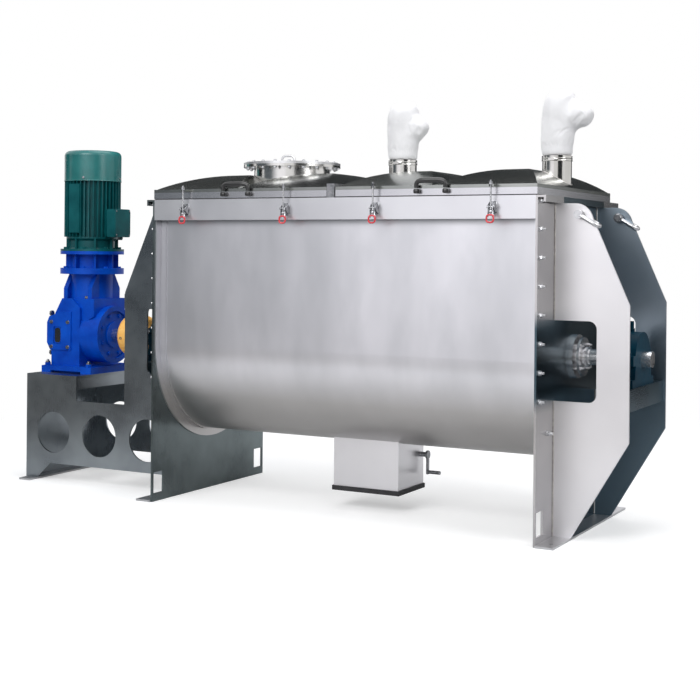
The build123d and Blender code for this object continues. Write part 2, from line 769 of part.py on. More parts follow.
# Clamp bases on the front rim: a plate, two ears and two stub pins
clamp_pivot_y = -half_width - clamp_pivot_stand
plate_half, plate_t = clamp_plate
clamp_bases = []
for x in clamp_offsets:
    base = block(x - plate_half, x + plate_half, -half_width - plate_t, -half_width,
                 clamp_pivot_z - clamp_plate_reach[0], clamp_pivot_z + clamp_plate_reach[1])
    ear = outline_of((-half_width - plate_t, clamp_pivot_z - 30), (-half_width - plate_t, clamp_pivot_z + 30),
                     (clamp_pivot_y - clamp_edge, clamp_pivot_z + 10),
                     (clamp_pivot_y - clamp_edge, clamp_pivot_z - 10))
    for side in (-1, 1):
        ear_x = x + side * clamp_ear_x
        base += slab_yz(ear, ear_x - clamp_sheet_half, ear_x + clamp_sheet_half)
        base += bar_x(x + side * (clamp_cheek_x - clamp_sheet_half - 0.5), ear_x + side * clamp_sheet_half,
                      clamp_pivot_y, clamp_pivot_z, clamp_pin_r)
    clamp_bases.append(base)
save("clamp_bases", *clamp_bases)

# Clamp levers, each two cheeks with a cross pin and a grip, and clamp rods, each an eye with a nut
rod_low = clamp_pivot_z - clamp_arm
fork_top = lid_top - keeper_drop
lever_end = clamp_pivot_z - clamp_lever_length
grip_half, grip_drop = clamp_grip
eye_half, eye_r = clamp_eye
pin_space = clamp_pin_r + running_gap
for index, x in enumerate(clamp_offsets):
    cheek = outline_of((clamp_pivot_y - clamp_edge, clamp_pivot_z + clamp_edge),
                       (clamp_pivot_y + clamp_edge, clamp_pivot_z + clamp_edge),
                       (clamp_pivot_y + clamp_edge, rod_low - 10), (clamp_pivot_y - 2, lever_end),
                       (clamp_pivot_y - 12, lever_end))
    cheek -= Pos(clamp_pivot_y, clamp_pivot_z) * Circle(pin_space)
    lever = bar_x(x - clamp_cheek_x - 1, x + clamp_cheek_x + 1, clamp_pivot_y, rod_low, clamp_pin_r)
    for side in (-1, 1):
        cheek_x = x + side * clamp_cheek_x
        lever += slab_yz(cheek, cheek_x - clamp_sheet_half, cheek_x + clamp_sheet_half)
    grip = block(x - grip_half, x + grip_half, clamp_pivot_y - grip_half, clamp_pivot_y + 2,
                 lever_end - grip_drop, lever_end)
    save(f"clamp_lever_{index + 1}", lever, grip)
    rod = bar_x(x - eye_half, x + eye_half, clamp_pivot_y, rod_low, eye_r)
    rod += bar_z(x, clamp_pivot_y, rod_low, fork_top + clamp_rod_end, clamp_rod_r)
    rod += bar_z(x, clamp_pivot_y, fork_top + seat_gap, fork_top + seat_gap + clamp_nut_t, clamp_nut_r)
    rod -= bar_x(x - plate_half, x + plate_half, clamp_pivot_y, rod_low, pin_space)
    save(f"clamp_rod_{index + 1}", rod)


def helix_band(outer_r, inner_r, thickness, hand, phase, start, run):
    """A helical band: an arc-ended section twisted along the shaft, its lead the pitch."""
    half_angle = math.radians(180 * thickness / ribbon_pitch)

    def place(r, angle):
        return (r * math.cos(angle), r * math.sin(angle))

    section = make_face([
        ThreePointArc(place(outer_r, -half_angle), place(outer_r, 0), place(outer_r, half_angle)),
        Line(place(outer_r, half_angle), place(inner_r, half_angle)),
        ThreePointArc(place(inner_r, half_angle), place(inner_r, 0), place(inner_r, -half_angle)),
        Line(place(inner_r, -half_angle), place(outer_r, -half_angle))])
    turn = math.radians(phase + hand * 360 * start / ribbon_pitch)
    plane = Plane(origin=(start, 0, shaft_height), x_dir=(0, math.cos(turn), math.sin(turn)), z_dir=(1, 0, 0))
    return Solid.extrude_linear_with_rotation(
        (plane * section).face(), center=(start, 0, shaft_height), normal=Vector(run, 0, 0),
        angle=hand * 360 * run / ribbon_pitch)


# The four kinds of band in the right half: radii, hand and phase. The left half mirrors them.
outer_bands = [(outer_ribbon_r, outer_ribbon_r - outer_ribbon_width, 1, phase) for phase in (0, 180)]
inner_bands = [(inner_ribbon_r, inner_ribbon_r - inner_ribbon_width, -1, phase) for phase in (0, 180)]


def whole_band(band):
    """One band over its whole run, starting beside the trough's middle."""
    outer_r, inner_r, hand, phase = band
    return helix_band(outer_r, inner_r, ribbon_t, hand, phase, ribbon_start, ribbon_run)


def band_slot(band, x):
    """The space that a band takes up where it passes an arm at x, with a weld gap all round."""
    outer_r, inner_r, hand, phase = band
    start = max(ribbon_start, x - 2 * arm_r)
    run = x + 2 * arm_r - start
    return helix_band(outer_r + seat_gap, inner_r - seat_gap, ribbon_t + 2 * seat_gap, hand, phase, start, run)


outer_right = [whole_band(band) for band in outer_bands]
inner_right = [whole_band(band) for band in inner_bands]
save("outer_ribbon_right", *outer_right)
save("outer_ribbon_left", *[mirrored_x(band) for band in outer_right])
save("inner_ribbons", *inner_right, *[mirrored_x(band) for band in inner_right])

# Arms: round bars standing on the shaft where outer and inner bands cross, slotted over the bands
arms = []
for index in range(arm_count):
    x = index * arm_spacing
    slots = [band_slot(band, x) for band in outer_bands + inner_bands]
    if index == 0:
        slots += [mirrored_x(slot) for slot in slots]
    for turn in (0, 180):
        arm = bar_y(x, shaft_tube_r - arm_r, outer_ribbon_r - arm_tip_gap, shaft_height, arm_r)
        arm = arm.rotate(Axis((0, 0, shaft_height), (1, 0, 0)), 90 * index + turn)
        arm -= bar_x(x - 2 * arm_r, x + 2 * arm_r, 0, shaft_height, shaft_tube_r)
        for slot in slots:
            arm -= slot
        arms += arm.solids()
        if index > 0:
            arms += mirrored_x(arm).solids()
save("ribbon_arms", *arms)

# Shaft: a tube in the trough with a stub shaft at each end
tube_end = plate_inner - tube_end_gap
tube_bore_r = shaft_tube_r - shaft_tube_wall
tube = bar_x(-tube_end, tube_end, 0, shaft_height, shaft_tube_r)
tube -= bar_x(-tube_end - 1, tube_end + 1, 0, shaft_height, tube_bore_r)
save("shaft_tube", tube)


def stub_shaft(tail):
    """A journal with the disc that fills the tube's end, a split collar and its length as tail."""
    stub = bar_x(tube_end - stub_disc_t, tube_end, 0, shaft_height, tube_bore_r)
    stub += bar_x(tube_end, plate_face + tail, 0, shaft_height, journal_r)
    collar_x = plate_face + gland_reach + gland_t + collar_gap
    return stub + bar_x(collar_x, collar_x + collar_width, 0, shaft_height, collar_r)


def bearing_ring():
    """The bearing's inner ring on the journal."""
    ring = bar_x(bearing_x - bearing_ring_half, bearing_x + bearing_ring_half, 0, shaft_height,
                 bearing_bore_r - running_gap)
    return ring - bar_x(plate_face, bearing_x + bearing_width, 0, shaft_height, journal_r)


# The two shafts meet inside the coupling with a gap between their ends
tyre_left = -plate_face - coupling_reach[1]
tyre_right = -plate_face - coupling_reach[0]
tyre_mid = (tyre_left + tyre_right) / 2
right_stub = stub_shaft(bearing_reach + shaft_tail)
left_stub = mirrored_x(stub_shaft(-tyre_mid - shaft_gap / 2 - plate_face))
save("stub_shafts", left_stub, right_stub, mirrored_x(bearing_ring()), bearing_ring())

# Gearbox output shaft
gearbox_face = gearbox_right + output_cover_t
bore_end = gearbox_right - output_bore_depth
output_shaft = bar_x(bore_end, tyre_mid - shaft_gap / 2, 0, shaft_height, journal_r)
save("gearbox_output_shaft", output_shaft)

# Coupling: two steel hubs and a split polyurethane element round them
coupling_bore = bar_x(tyre_left - coupling_length, tyre_right + coupling_length, 0, shaft_height, journal_r)
hub_left = bar_x(tyre_left - coupling_hub_overlap, tyre_mid - shaft_gap / 2, 0, shaft_height, coupling_hub_r)
hub_right = bar_x(tyre_mid + shaft_gap / 2, tyre_right + coupling_hub_overlap, 0, shaft_height, coupling_hub_r)
save("coupling_hubs", hub_left - coupling_bore, hub_right - coupling_bore)
shoulder_x, shoulder_r = coupling_shoulder
mid_x, mid_r = coupling_shoulder_mid
crown = shaft_height + coupling_r
bore_top = shaft_height + coupling_hub_r
tyre_profile = make_face([
    Line((tyre_left, bore_top), (tyre_left, crown - shoulder_r)),
    ThreePointArc((tyre_left, crown - shoulder_r), (tyre_left + mid_x, crown - mid_r),
                  (tyre_left + shoulder_x, crown)),
    Line((tyre_left + shoulder_x, crown), (tyre_right - shoulder_x, crown)),
    ThreePointArc((tyre_right - shoulder_x, crown), (tyre_right - mid_x, crown - mid_r),
                  (tyre_right, crown - shoulder_r)),
    Polyline((tyre_right, crown - shoulder_r), (tyre_right, bore_top), (tyre_left, bore_top))])
shaft_line = Axis((0, 0, shaft_height), (1, 0, 0))
tyre = revolve(plane_xz(0) * tyre_profile, shaft_line)
split = block(tyre_left - 1, tyre_right + 1, -coupling_r - 1, coupling_r + 1,
              shaft_height - split_gap / 2, shaft_height + split_gap / 2)
save("coupling_tyre", *(tyre - split.rotate(shaft_line, split_turn)).solids())

# Bearing housings: split plummer blocks on the beams
half_w = bearing_width / 2
base_top = beam_top + bearing_base_t
lug_length, lug_height = bearing_lug
housing_outline = Pos(0, shaft_height) * Circle(bearing_body_r)
housing_outline += outline_of(
    (-bearing_body_r * 0.97, shaft_height - 36), (bearing_body_r * 0.97, shaft_height - 36),
    (bearing_body_r + 8, base_top), (-bearing_body_r - 8, base_top))
housing_outline += Pos(0, beam_top + bearing_base_t / 2) * Rectangle(2 * bearing_base_half, bearing_base_t)
for side in (-1, 1):
    lug_y = side * (bearing_body_r + lug_length / 4)
    housing_outline += Pos(lug_y, shaft_height) * Rectangle(lug_length, lug_height)
housing = slab_yz(housing_outline, bearing_x - half_w, bearing_x + half_w)
housing -= bar_x(bearing_x - bearing_ring_half - 1, bearing_x + bearing_ring_half + 1, 0, shaft_height,
                 bearing_bore_r)
housing -= bar_x(bearing_x - bearing_width, bearing_x + bearing_width, 0, shaft_height,
                 journal_r + shaft_clearance)
nipple_r, nipple_height, cap_r, cap_height = bearing_nipple
nipple_top = shaft_height + bearing_body_r + nipple_height
housing += bar_z(bearing_x, 0, nipple_top - nipple_height - 4, nipple_top, nipple_r)
housing += bar_z(bearing_x, 0, nipple_top, nipple_top + cap_height, cap_r)
housing -= block(bearing_x - half_w, bearing_x + half_w, -bearing_base_half, bearing_base_half,
                 shaft_height - bearing_body_r - 1, beam_top)
above = block(bearing_x - half_w, bearing_x + half_w, -gusset_y, gusset_y, shaft_height,
              nipple_top + cap_height)
housing_cap = housing & above
housing_base = housing - above
for side in (-1, 1):
    for dx in (-bearing_joint_bolt_x, bearing_joint_bolt_x):
        housing_cap += hex_head_z(bearing_x + dx, side * (bearing_body_r + 20), shaft_height + lug_height / 2,
                                  24, 13)
    housing_base += hex_head_z(bearing_x, side * (bearing_base_half - 22), base_top, 30, 16)
save("bearing_housings", housing_base, housing_cap, mirrored_x(housing_base), mirrored_x(housing_cap))

# Shaft seals: a flanged stuffing box in each end plate, and a gland follower on its studs
seal_face = plate_face + seal_flange_t
gland_face = plate_face + gland_reach + gland_t
seal_bore = bar_x(plate_inner - 1, bearing_x, 0, shaft_height, journal_r + shaft_clearance)
seal = bar_x(plate_inner, plate_face, 0, shaft_height, seal_barrel_r)
seal += bar_x(plate_face, seal_face, 0, shaft_height, seal_flange_r)
seal -= seal_bore
gland = bar_x(plate_face + gland_reach, gland_face, 0, shaft_height, gland_r)
gland += bar_x(seal_face, plate_face + gland_reach, 0, shaft_height, gland_r * gland_nose_share)
for index in range(gland_stud_count):
    angle = 2 * math.pi * (index + 0.5) / gland_stud_count
    stud_y = gland_r * gland_stud_share * math.cos(angle)
    stud_z = shaft_height + gland_r * gland_stud_share * math.sin(angle)
    gland += bar_x(seal_face, gland_face + gland_stud_tail, stud_y, stud_z, gland_stud_r)
    gland += hex_head_x(gland_face, stud_y, stud_z, 19, 11)
gland -= seal_bore
save("seal_housings", seal, mirrored_x(seal))
save("gland_followers", gland, mirrored_x(gland))

# Gearbox housing, seen from the front: a foot-mounted body with sloping shoulders and a side cover
case_left = drive_end + gearbox_left
front_right = drive_end + gearbox_front_right
cover_left = case_left - side_cover_reach - 12
rib_outer = motor_x - tower_rib_reach[1]
front_outline = outline_of(
    (case_left, drive_seat_top), (front_right, drive_seat_top), (front_right, shoulder_z),
    (gearbox_right - 20, shoulder_z + 60), (gearbox_right - 20, gearbox_top), (rib_outer, gearbox_top),
    (case_left, side_cover_z[3]))
case = slab_xz(front_outline, 0, 2 * shoulder_half_width)
front_wall = outline_of(
    (case_left, drive_seat_top), (front_right, drive_seat_top), (front_right, gearbox_top - 60),
    (front_right - 70, gearbox_top), (rib_outer + 40, gearbox_top - 80), (case_left, side_cover_z[2]))
case += slab_xz(front_wall, 0, 2 * gearbox_half_width)
side_cover = outline_of(
    (case_left + side_cover_inner, side_cover_z[0]), (case_left - 6, side_cover_z[0]),
    (cover_left, side_cover_z[1]), (cover_left, side_cover_z[2]), (cover_left + 20, side_cover_z[3]),
    (rib_outer + 30, gearbox_top - 90), (case_left + side_cover_inner, gearbox_top - 90))
case += slab_xz(side_cover, 0, 2 * (gearbox_half_width + 8))

# Foot with a shallow recess along its middle, and the sight window on both sides
recess_half, recess_height = gearbox_foot_recess
foot = block(drive_end + 4, gearbox_right + 8, -gearbox_foot_half, gearbox_foot_half, drive_seat_top,
             drive_seat_top + gearbox_foot_t)
foot_mid = (drive_end + gearbox_right) / 2
foot -= block(foot_mid - recess_half, foot_mid + recess_half, -gearbox_foot_half - 1, gearbox_foot_half + 1,
              drive_seat_top - 1, drive_seat_top + recess_height)
case += foot
window_face = gearbox_half_width + 8
for side in (-1, 1):
    case -= block(drive_end + sight_x[0], drive_end + sight_x[1], side * (window_face - sight_depth),
                  side * (window_face + 1), *sight_z)

# Tower: a round neck between two upright ribs that run up to the adapter flange
case += bar_z(motor_x, 0, gearbox_top - 60, tower_top, tower_r)
case += bar_z(motor_x, 0, tower_top, tower_top + adapter_flange_t, adapter_flange_r)
rib_top_half, rib_low_half = tower_rib_half
rib_outline = outline_of((-rib_low_half, gearbox_top - 40), (-rib_low_half, tower_rib_shoulder),
                         (-rib_top_half, tower_top), (rib_top_half, tower_top),
                         (rib_low_half, tower_rib_shoulder), (rib_low_half, gearbox_top - 40))
for side in (-1, 1):
    reaches = sorted((motor_x + side * tower_rib_reach[0], motor_x + side * tower_rib_reach[1]))
    case += slab_yz(rib_outline, *reaches)

# Output side: a round cover with a raised ring, its screws, and the bore for the output shaft
cover_start = front_right - 20
case += bar_x(cover_start, gearbox_face, 0, shaft_height, output_cover_r)
case -= bar_x(gearbox_face - output_ring_depth, gearbox_face + 1, 0, shaft_height, output_ring_r)
case += bar_x(gearbox_face - output_ring_depth, gearbox_face - 2, 0, shaft_height, output_ring_r * 0.55)
case += bar_x(drive_end, case_left, 0, shaft_height, output_ring_r * 0.66)
case -= bar_x(bore_end - 1, gearbox_face + 1, 0, shaft_height, journal_r + running_gap)
for index in range(output_bolt_count):
    angle = 2 * math.pi * (index + 0.5) / output_bolt_count
    case += hex_head_x(gearbox_face - output_ring_depth, output_ring_r * output_bolt_share * math.cos(angle),
                       shaft_height + output_ring_r * output_bolt_share * math.sin(angle), 24, -10)
for x in (drive_end + 40, gearbox_right - 30):
    for y in (-gearbox_foot_half + 24, gearbox_foot_half - 24):
        case += hex_head_z(x, y, drive_seat_top + gearbox_foot_t, 36, 20)
save("gearbox_housing", case)


def bolt_circle(z, r, count, across, height):
    """Hexagon heads in a circle about the motor's axis, standing on a level face at z."""
    heads = []
    for index in range(count):
        angle = 2 * math.pi * (index + 0.5) / count
        heads.append(hex_head_z(motor_x + r * math.cos(angle), r * math.sin(angle), z, across, height))
    return heads


motor_line = Axis((motor_x, 0, 0), (0, 0, 1))

# Lantern between gearbox and motor: a ribbed neck with a flange at its top
lantern_floor, lantern_ceiling = lantern_z
lantern = bar_z(motor_x, 0, lantern_floor, lantern_ceiling, lantern_r)
lantern += bar_z(motor_x, 0, lantern_ceiling, lantern_flange_z, adapter_flange_r)
rib_reach = adapter_bolt_r - 6
for turn in range(4):
    rib = block(motor_x - rib_reach, motor_x + rib_reach, -lantern_rib_t / 2, lantern_rib_t / 2,
                lantern_floor, lantern_ceiling)
    lantern += rib.rotate(motor_line, 45 * turn)
for head in bolt_circle(lantern_floor, adapter_bolt_r + 6, 8, 24, 12):
    lantern += head
save("motor_lantern", lantern)

# Motor: flange, waisted endshield with ribs, finned stator with a plain pad in front
fin_points = []
fin_pitch = 2 * math.pi / fin_count
fin_shape = ((motor_body_r, 0.1), (motor_body_r, 0.39), (motor_body_r + fin_reach, 0.43),
             (motor_body_r + fin_reach, 0.57), (motor_body_r, 0.61), (motor_body_r, 0.9))
for index in range(fin_count):
    for r, turn in fin_shape:
        angle = fin_pitch * (index + turn)
        fin_points.append((r * math.cos(angle), r * math.sin(angle)))
stator_bottom, stator_top = fin_z
motor = Pos(motor_x, 0, stator_bottom) * extrude(outline_of(*fin_points), stator_top - stator_bottom)
endshield = make_face([
    Polyline((0, lantern_flange_z), (adapter_flange_r, lantern_flange_z), (adapter_flange_r, motor_bottom),
             (endshield_r + 8, motor_bottom), (endshield_r, motor_bottom + 10), (endshield_r, 1614),
             (motor_ring_r, stator_bottom - 12), (motor_ring_r, stator_bottom), (0, stator_bottom),
             (0, lantern_flange_z))])
motor += Pos(motor_x, 0, 0) * revolve(plane_xz(0) * endshield, Axis.Z)
for turn in range(4):
    rib = block(motor_x - motor_ring_r, motor_x + motor_ring_r, -endshield_rib_t / 2,
                endshield_rib_t / 2, motor_bottom, stator_bottom - 12)
    motor += rib.rotate(motor_line, 45 * turn)
for head in bolt_circle(motor_bottom, adapter_bolt_r + 6, 8, 24, 14):
    motor += head
motor += bar_z(motor_x, 0, stator_top, stator_top + motor_spigot, motor_body_r)
pad = block(motor_x - stator_pad_half, motor_x + stator_pad_half, -motor_body_r - fin_reach - 6, -100,
            *stator_pad_z)
motor += pad
neck_half, neck_low, neck_high = terminal_neck
fin_tip = motor_x + motor_body_r + fin_reach
neck = block(motor_x + motor_body_r - 20, fin_tip, -neck_half, neck_half,
             stator_bottom + neck_low, stator_bottom + neck_high)
neck -= bar_z(motor_x, 0, stator_bottom, stator_top, motor_body_r)
motor -= neck
motor -= bar_z(motor_x, 0, stator_top - rotor_depth - 1, stator_top + motor_spigot + 1,
               motor_shaft_r + running_gap)
save("motor_housing", motor)
gland_x, gland_y, gland_tube_r = terminal_gland
terminal_box = block(fin_tip, fin_tip + terminal_depth, -terminal_half, terminal_half,
                     stator_bottom, stator_bottom + terminal_height)
terminal_box += neck + bar_z(fin_tip + gland_x, gland_y, stator_bottom - 20, stator_bottom, gland_tube_r)
save("terminal_box", terminal_box)

# Fan cowl: a drawn cap with a row of air slots in its top
cowl = bar_z(motor_x, 0, stator_top, cowl_top, cowl_r)
cowl = fillet(cowl.edges().group_by(Axis.Z)[-1], cowl_round)
cowl_inner = bar_z(motor_x, 0, stator_top - 1, cowl_top - cowl_sheet, cowl_r - cowl_sheet)
cowl -= fillet(cowl_inner.edges().group_by(Axis.Z)[-1], cowl_round - cowl_sheet)
for index in range(-cowl_slot_rows, cowl_slot_rows + 1):
    slot_y = index * cowl_slot_pitch
    half = math.sqrt((cowl_r - cowl_slot_rim) ** 2 - slot_y ** 2)
    cowl -= block(motor_x - half, motor_x + half, slot_y - cowl_slot_half, slot_y + cowl_slot_half,
                  cowl_top - 3 * cowl_sheet, cowl_top + 1)
save("motor_cowl", cowl)

# Motor shaft end with its fan
fan_low, plate_high, fan_high = (stator_top + height for height in fan_z)
rotor = bar_z(motor_x, 0, stator_top - rotor_depth, fan_high, motor_shaft_r)
fan = bar_z(motor_x, 0, fan_low, plate_high, fan_r)
fan += bar_z(motor_x, 0, fan_low, fan_high, motor_shaft_r + fan_hub_wall)
for index in range(fan_blade_count):
    blade = block(motor_x + motor_shaft_r + 10, motor_x + fan_r, -fan_blade_half, fan_blade_half,
                  plate_high, fan_high)
    fan += blade.rotate(motor_line, 360 / fan_blade_count * index)
fan -= bar_z(motor_x, 0, fan_low - 1, fan_high + 1, motor_shaft_r)
save("motor_fan", rotor, fan)

# Outlet box under the trough, with a rubber collar at its mouth
half_l = outlet_length / 2
half_o = outlet_width / 2
outlet = block(-half_l, half_l, -half_o, half_o, outlet_bottom, shaft_height - shell_inner_r / 2)
outlet -= block(-half_l + outlet_sheet, half_l - outlet_sheet, -half_o + outlet_sheet,
                half_o - outlet_sheet, outlet_bottom - 1, shaft_height)
outlet -= bar_x(-half_l - 1, half_l + 1, 0, shaft_height, shell_outer_r)
outlet -= bar_x(-half_l - 1, half_l + 1, flap_pivot_y, flap_pivot_z, flap_shaft_r + running_gap)
save("outlet_box", outlet)
collar = block(-half_l - collar_t, half_l + collar_t, -half_o - collar_t, half_o + collar_t,
               outlet_bottom - collar_depth, outlet_bottom)
collar -= block(-half_l + outlet_sheet, half_l - outlet_sheet, -half_o + outlet_sheet,
                half_o - outlet_sheet, outlet_bottom - collar_depth - 1, outlet_bottom + 1)
save("outlet_collar", collar)

# Flap valve: a curved flap flush with the trough, on arms from a shaft with a crank outside
flap_skin = bar_x(-flap_length / 2, flap_length / 2, 0, shaft_height, shell_inner_r + flap_t)
flap = flap_skin - bar_x(-flap_length, flap_length, 0, shaft_height, shell_inner_r)
flap &= block(-flap_length / 2, flap_length / 2, -flap_width / 2, flap_width / 2, 0, shaft_height)
flap_shaft_run = bar_x(-half_l - flap_shaft_tail, half_l + crank_reach[1], flap_pivot_y, flap_pivot_z,
                       flap_shaft_r)
arm_outline = outline_of(
    (flap_pivot_y - 26, flap_pivot_z - 12), (flap_pivot_y - 20, flap_pivot_z + 24),
    (flap_width / 2 - 12, shaft_height - shell_inner_r), (-flap_width / 2 + 70, shaft_height - shell_inner_r),
    (-flap_width / 2 + 70, shaft_height - shell_outer_r - 30))
arm_outline += Pos(flap_pivot_y, flap_pivot_z) * Circle(flap_hub_r)
for x in (-flap_arm_x, flap_arm_x):
    arm = slab_yz(arm_outline, x - flap_arm_half, x + flap_arm_half)
    flap += arm - bar_x(x - flap_arm_x, x + flap_arm_x, 0, shaft_height, shell_inner_r + flap_t)
flap -= flap_shaft_run
save("outlet_flap", flap)
crank_low = flap_pivot_z - crank_length
crank_outline = outline_of((flap_pivot_y - 12, flap_pivot_z), (flap_pivot_y + 12, flap_pivot_z),
                           (flap_pivot_y + 10, crank_low), (flap_pivot_y - 10, crank_low))
crank_outline += Pos(flap_pivot_y, flap_pivot_z) * Circle(crank_hub_r)
crank = slab_yz(crank_outline, half_l + crank_reach[0], half_l + crank_reach[1])
knob_length, knob_r, knob_rise = crank_knob
knob_x = half_l + crank_reach[1]
crank += flap_shaft_run + bar_x(knob_x, knob_x + knob_length, flap_pivot_y, crank_low + knob_rise, knob_r)
save("flap_shaft", crank)

# Lifting shackles through the right gussets' eyes, resting on the sloping edge
eye_x = plate_face + eye_place[0]
eye_z = eye_place[1]
edge_dx = gusset_reach - gusset_shoulder[0]
edge_dz = gusset_waist_top - gusset_shoulder[1]
edge_length = math.hypot(edge_dx, edge_dz)
normal_x, normal_z = -edge_dz / edge_length, edge_dx / edge_length
edge_distance = (gusset_shoulder[0] - eye_place[0]) * normal_x + (gusset_shoulder[1] - eye_place[1]) * normal_z
bow_sag = bow_half_width - math.sqrt(bow_half_width ** 2 - (gusset_t / 2) ** 2)
bow_rest = math.degrees(math.atan2(normal_z, normal_x)) - math.degrees(
    math.acos((edge_distance + bow_rod_r + seat_gap) / (bow_length - bow_sag)))
leg_end = bow_length - bow_half_width
nut_r, nut_t = bow_nut
bow_side = bow_half_width + bow_eye_half
for name, y in (("shackle_front", -gusset_y), ("shackle_rear", gusset_y)):
    bow_path = Line((0, -bow_half_width), (leg_end, -bow_half_width)) + ThreePointArc(
        (leg_end, -bow_half_width), (bow_length, 0), (leg_end, bow_half_width)) + Line(
        (leg_end, bow_half_width), (0, bow_half_width))
    bow = sweep(Plane(origin=(0, -bow_half_width, 0), z_dir=(1, 0, 0)) * Circle(bow_rod_r), path=bow_path)
    for side in (-1, 1):
        bow += bar_y(0, side * (bow_half_width - bow_eye_half), side * bow_side, 0, bow_eye_r)
    pin = bar_y(0, -bow_side, bow_side, 0, bow_pin_r)
    pin += bar_y(0, bow_side, bow_side + nut_t, 0, nut_r)
    bow -= bar_y(0, -bow_length, bow_length, 0, bow_pin_r)
    place = Pos(eye_x, y, eye_z) * Rot(0, -bow_rest, 0)
    save(name, place * bow, place * pin)
print("bow rest angle", round(bow_rest, 3))
print("drive length", drive_length, "motor", motor_x, "bearing", bearing_x, "pivot z", flap_pivot_z)
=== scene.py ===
# %% [markdown]
# # A ribbon blender, dressed for the camera
# A ribbon blender is a long steel trough in which a double helix of ribbons turns.
# The machine's plates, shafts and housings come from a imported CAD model, which stays fixed.
# This lesson adds what a CAD model lacks: brushed and polished steel, enamel, rubber,
# cloth bags that sag, threaded rods, washers, weld beads and the small fittings of a drive.

# %% Load the frame
import math

import bmesh
import bpy
import numpy as np
from mathutils import Matrix, Vector
from mathutils.bvhtree import BVHTree


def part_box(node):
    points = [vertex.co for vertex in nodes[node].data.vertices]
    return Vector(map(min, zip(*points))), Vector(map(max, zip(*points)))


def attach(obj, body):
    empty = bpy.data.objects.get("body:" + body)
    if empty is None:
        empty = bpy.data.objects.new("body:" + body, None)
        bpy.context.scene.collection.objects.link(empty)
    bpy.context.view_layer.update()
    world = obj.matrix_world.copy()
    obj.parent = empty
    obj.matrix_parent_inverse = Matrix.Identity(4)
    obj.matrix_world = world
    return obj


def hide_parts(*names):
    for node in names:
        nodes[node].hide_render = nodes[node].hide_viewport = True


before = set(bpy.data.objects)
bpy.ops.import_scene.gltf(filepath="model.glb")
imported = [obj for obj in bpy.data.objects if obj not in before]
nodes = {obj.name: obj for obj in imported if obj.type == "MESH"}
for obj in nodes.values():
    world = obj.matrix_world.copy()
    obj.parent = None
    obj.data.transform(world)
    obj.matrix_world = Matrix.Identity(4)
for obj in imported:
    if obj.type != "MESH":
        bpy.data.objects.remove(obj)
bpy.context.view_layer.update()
scene = bpy.context.scene


def corners(node):
    """The lowest and highest corner of a CAD node, as two arrays in metres."""
    low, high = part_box(node)
    return np.array(low, float), np.array(high, float)


def middle_of(node):
    """The middle of a CAD node's box."""
    low, high = corners(node)
    return (low + high) / 2


def new_object(name, data):
    """An object in the scene that shows a mesh, a camera or a light."""
    item = bpy.data.objects.new(name, data)
    scene.collection.objects.link(item)
    return item


# %% [markdown]
# ## Writing shader maths as Python
# A node tree is hard to read as a list of links. A thin wrapper round a socket lets an
# expression such as `0.3 + 0.1 * grain` add its own Math nodes. Everything else comes from
# one method that takes a node's kind, its settings and its inputs. Places in a finish are
# metres, because it reads the piece's own coordinates.

# %% A socket that understands arithmetic
def maths(operation, swapped=False):
    """A method that adds one Math node, fed by a value and another number or value."""
    def method(self, other):
        first, second = (other, self) if swapped else (self, other)
        return self.shader.node("Math", {"operation": operation}, {0: first, 1: second})

    return method


class Value:
    """A shader socket with the arithmetic operators that the finishes use."""

    def __init__(self, shader, socket):
        self.shader = shader
        self.socket = socket

    __add__, __radd__ = maths("ADD"), maths("ADD", True)
    __sub__, __rsub__ = maths("SUBTRACT"), maths("SUBTRACT", True)
    __mul__, __rmul__ = maths("MULTIPLY"), maths("MULTIPLY", True)
    __pow__ = maths("POWER")

    def between(self, start, end):
        """0 at start, 1 at end, a straight ramp between them and flat beyond. The end may be
        the smaller number."""
        return self.shader.node("MapRange", {"clamp": True},
                                {0: self, 1: start, 2: end, 3: 0.0, 4: 1.0})


finishes = {}


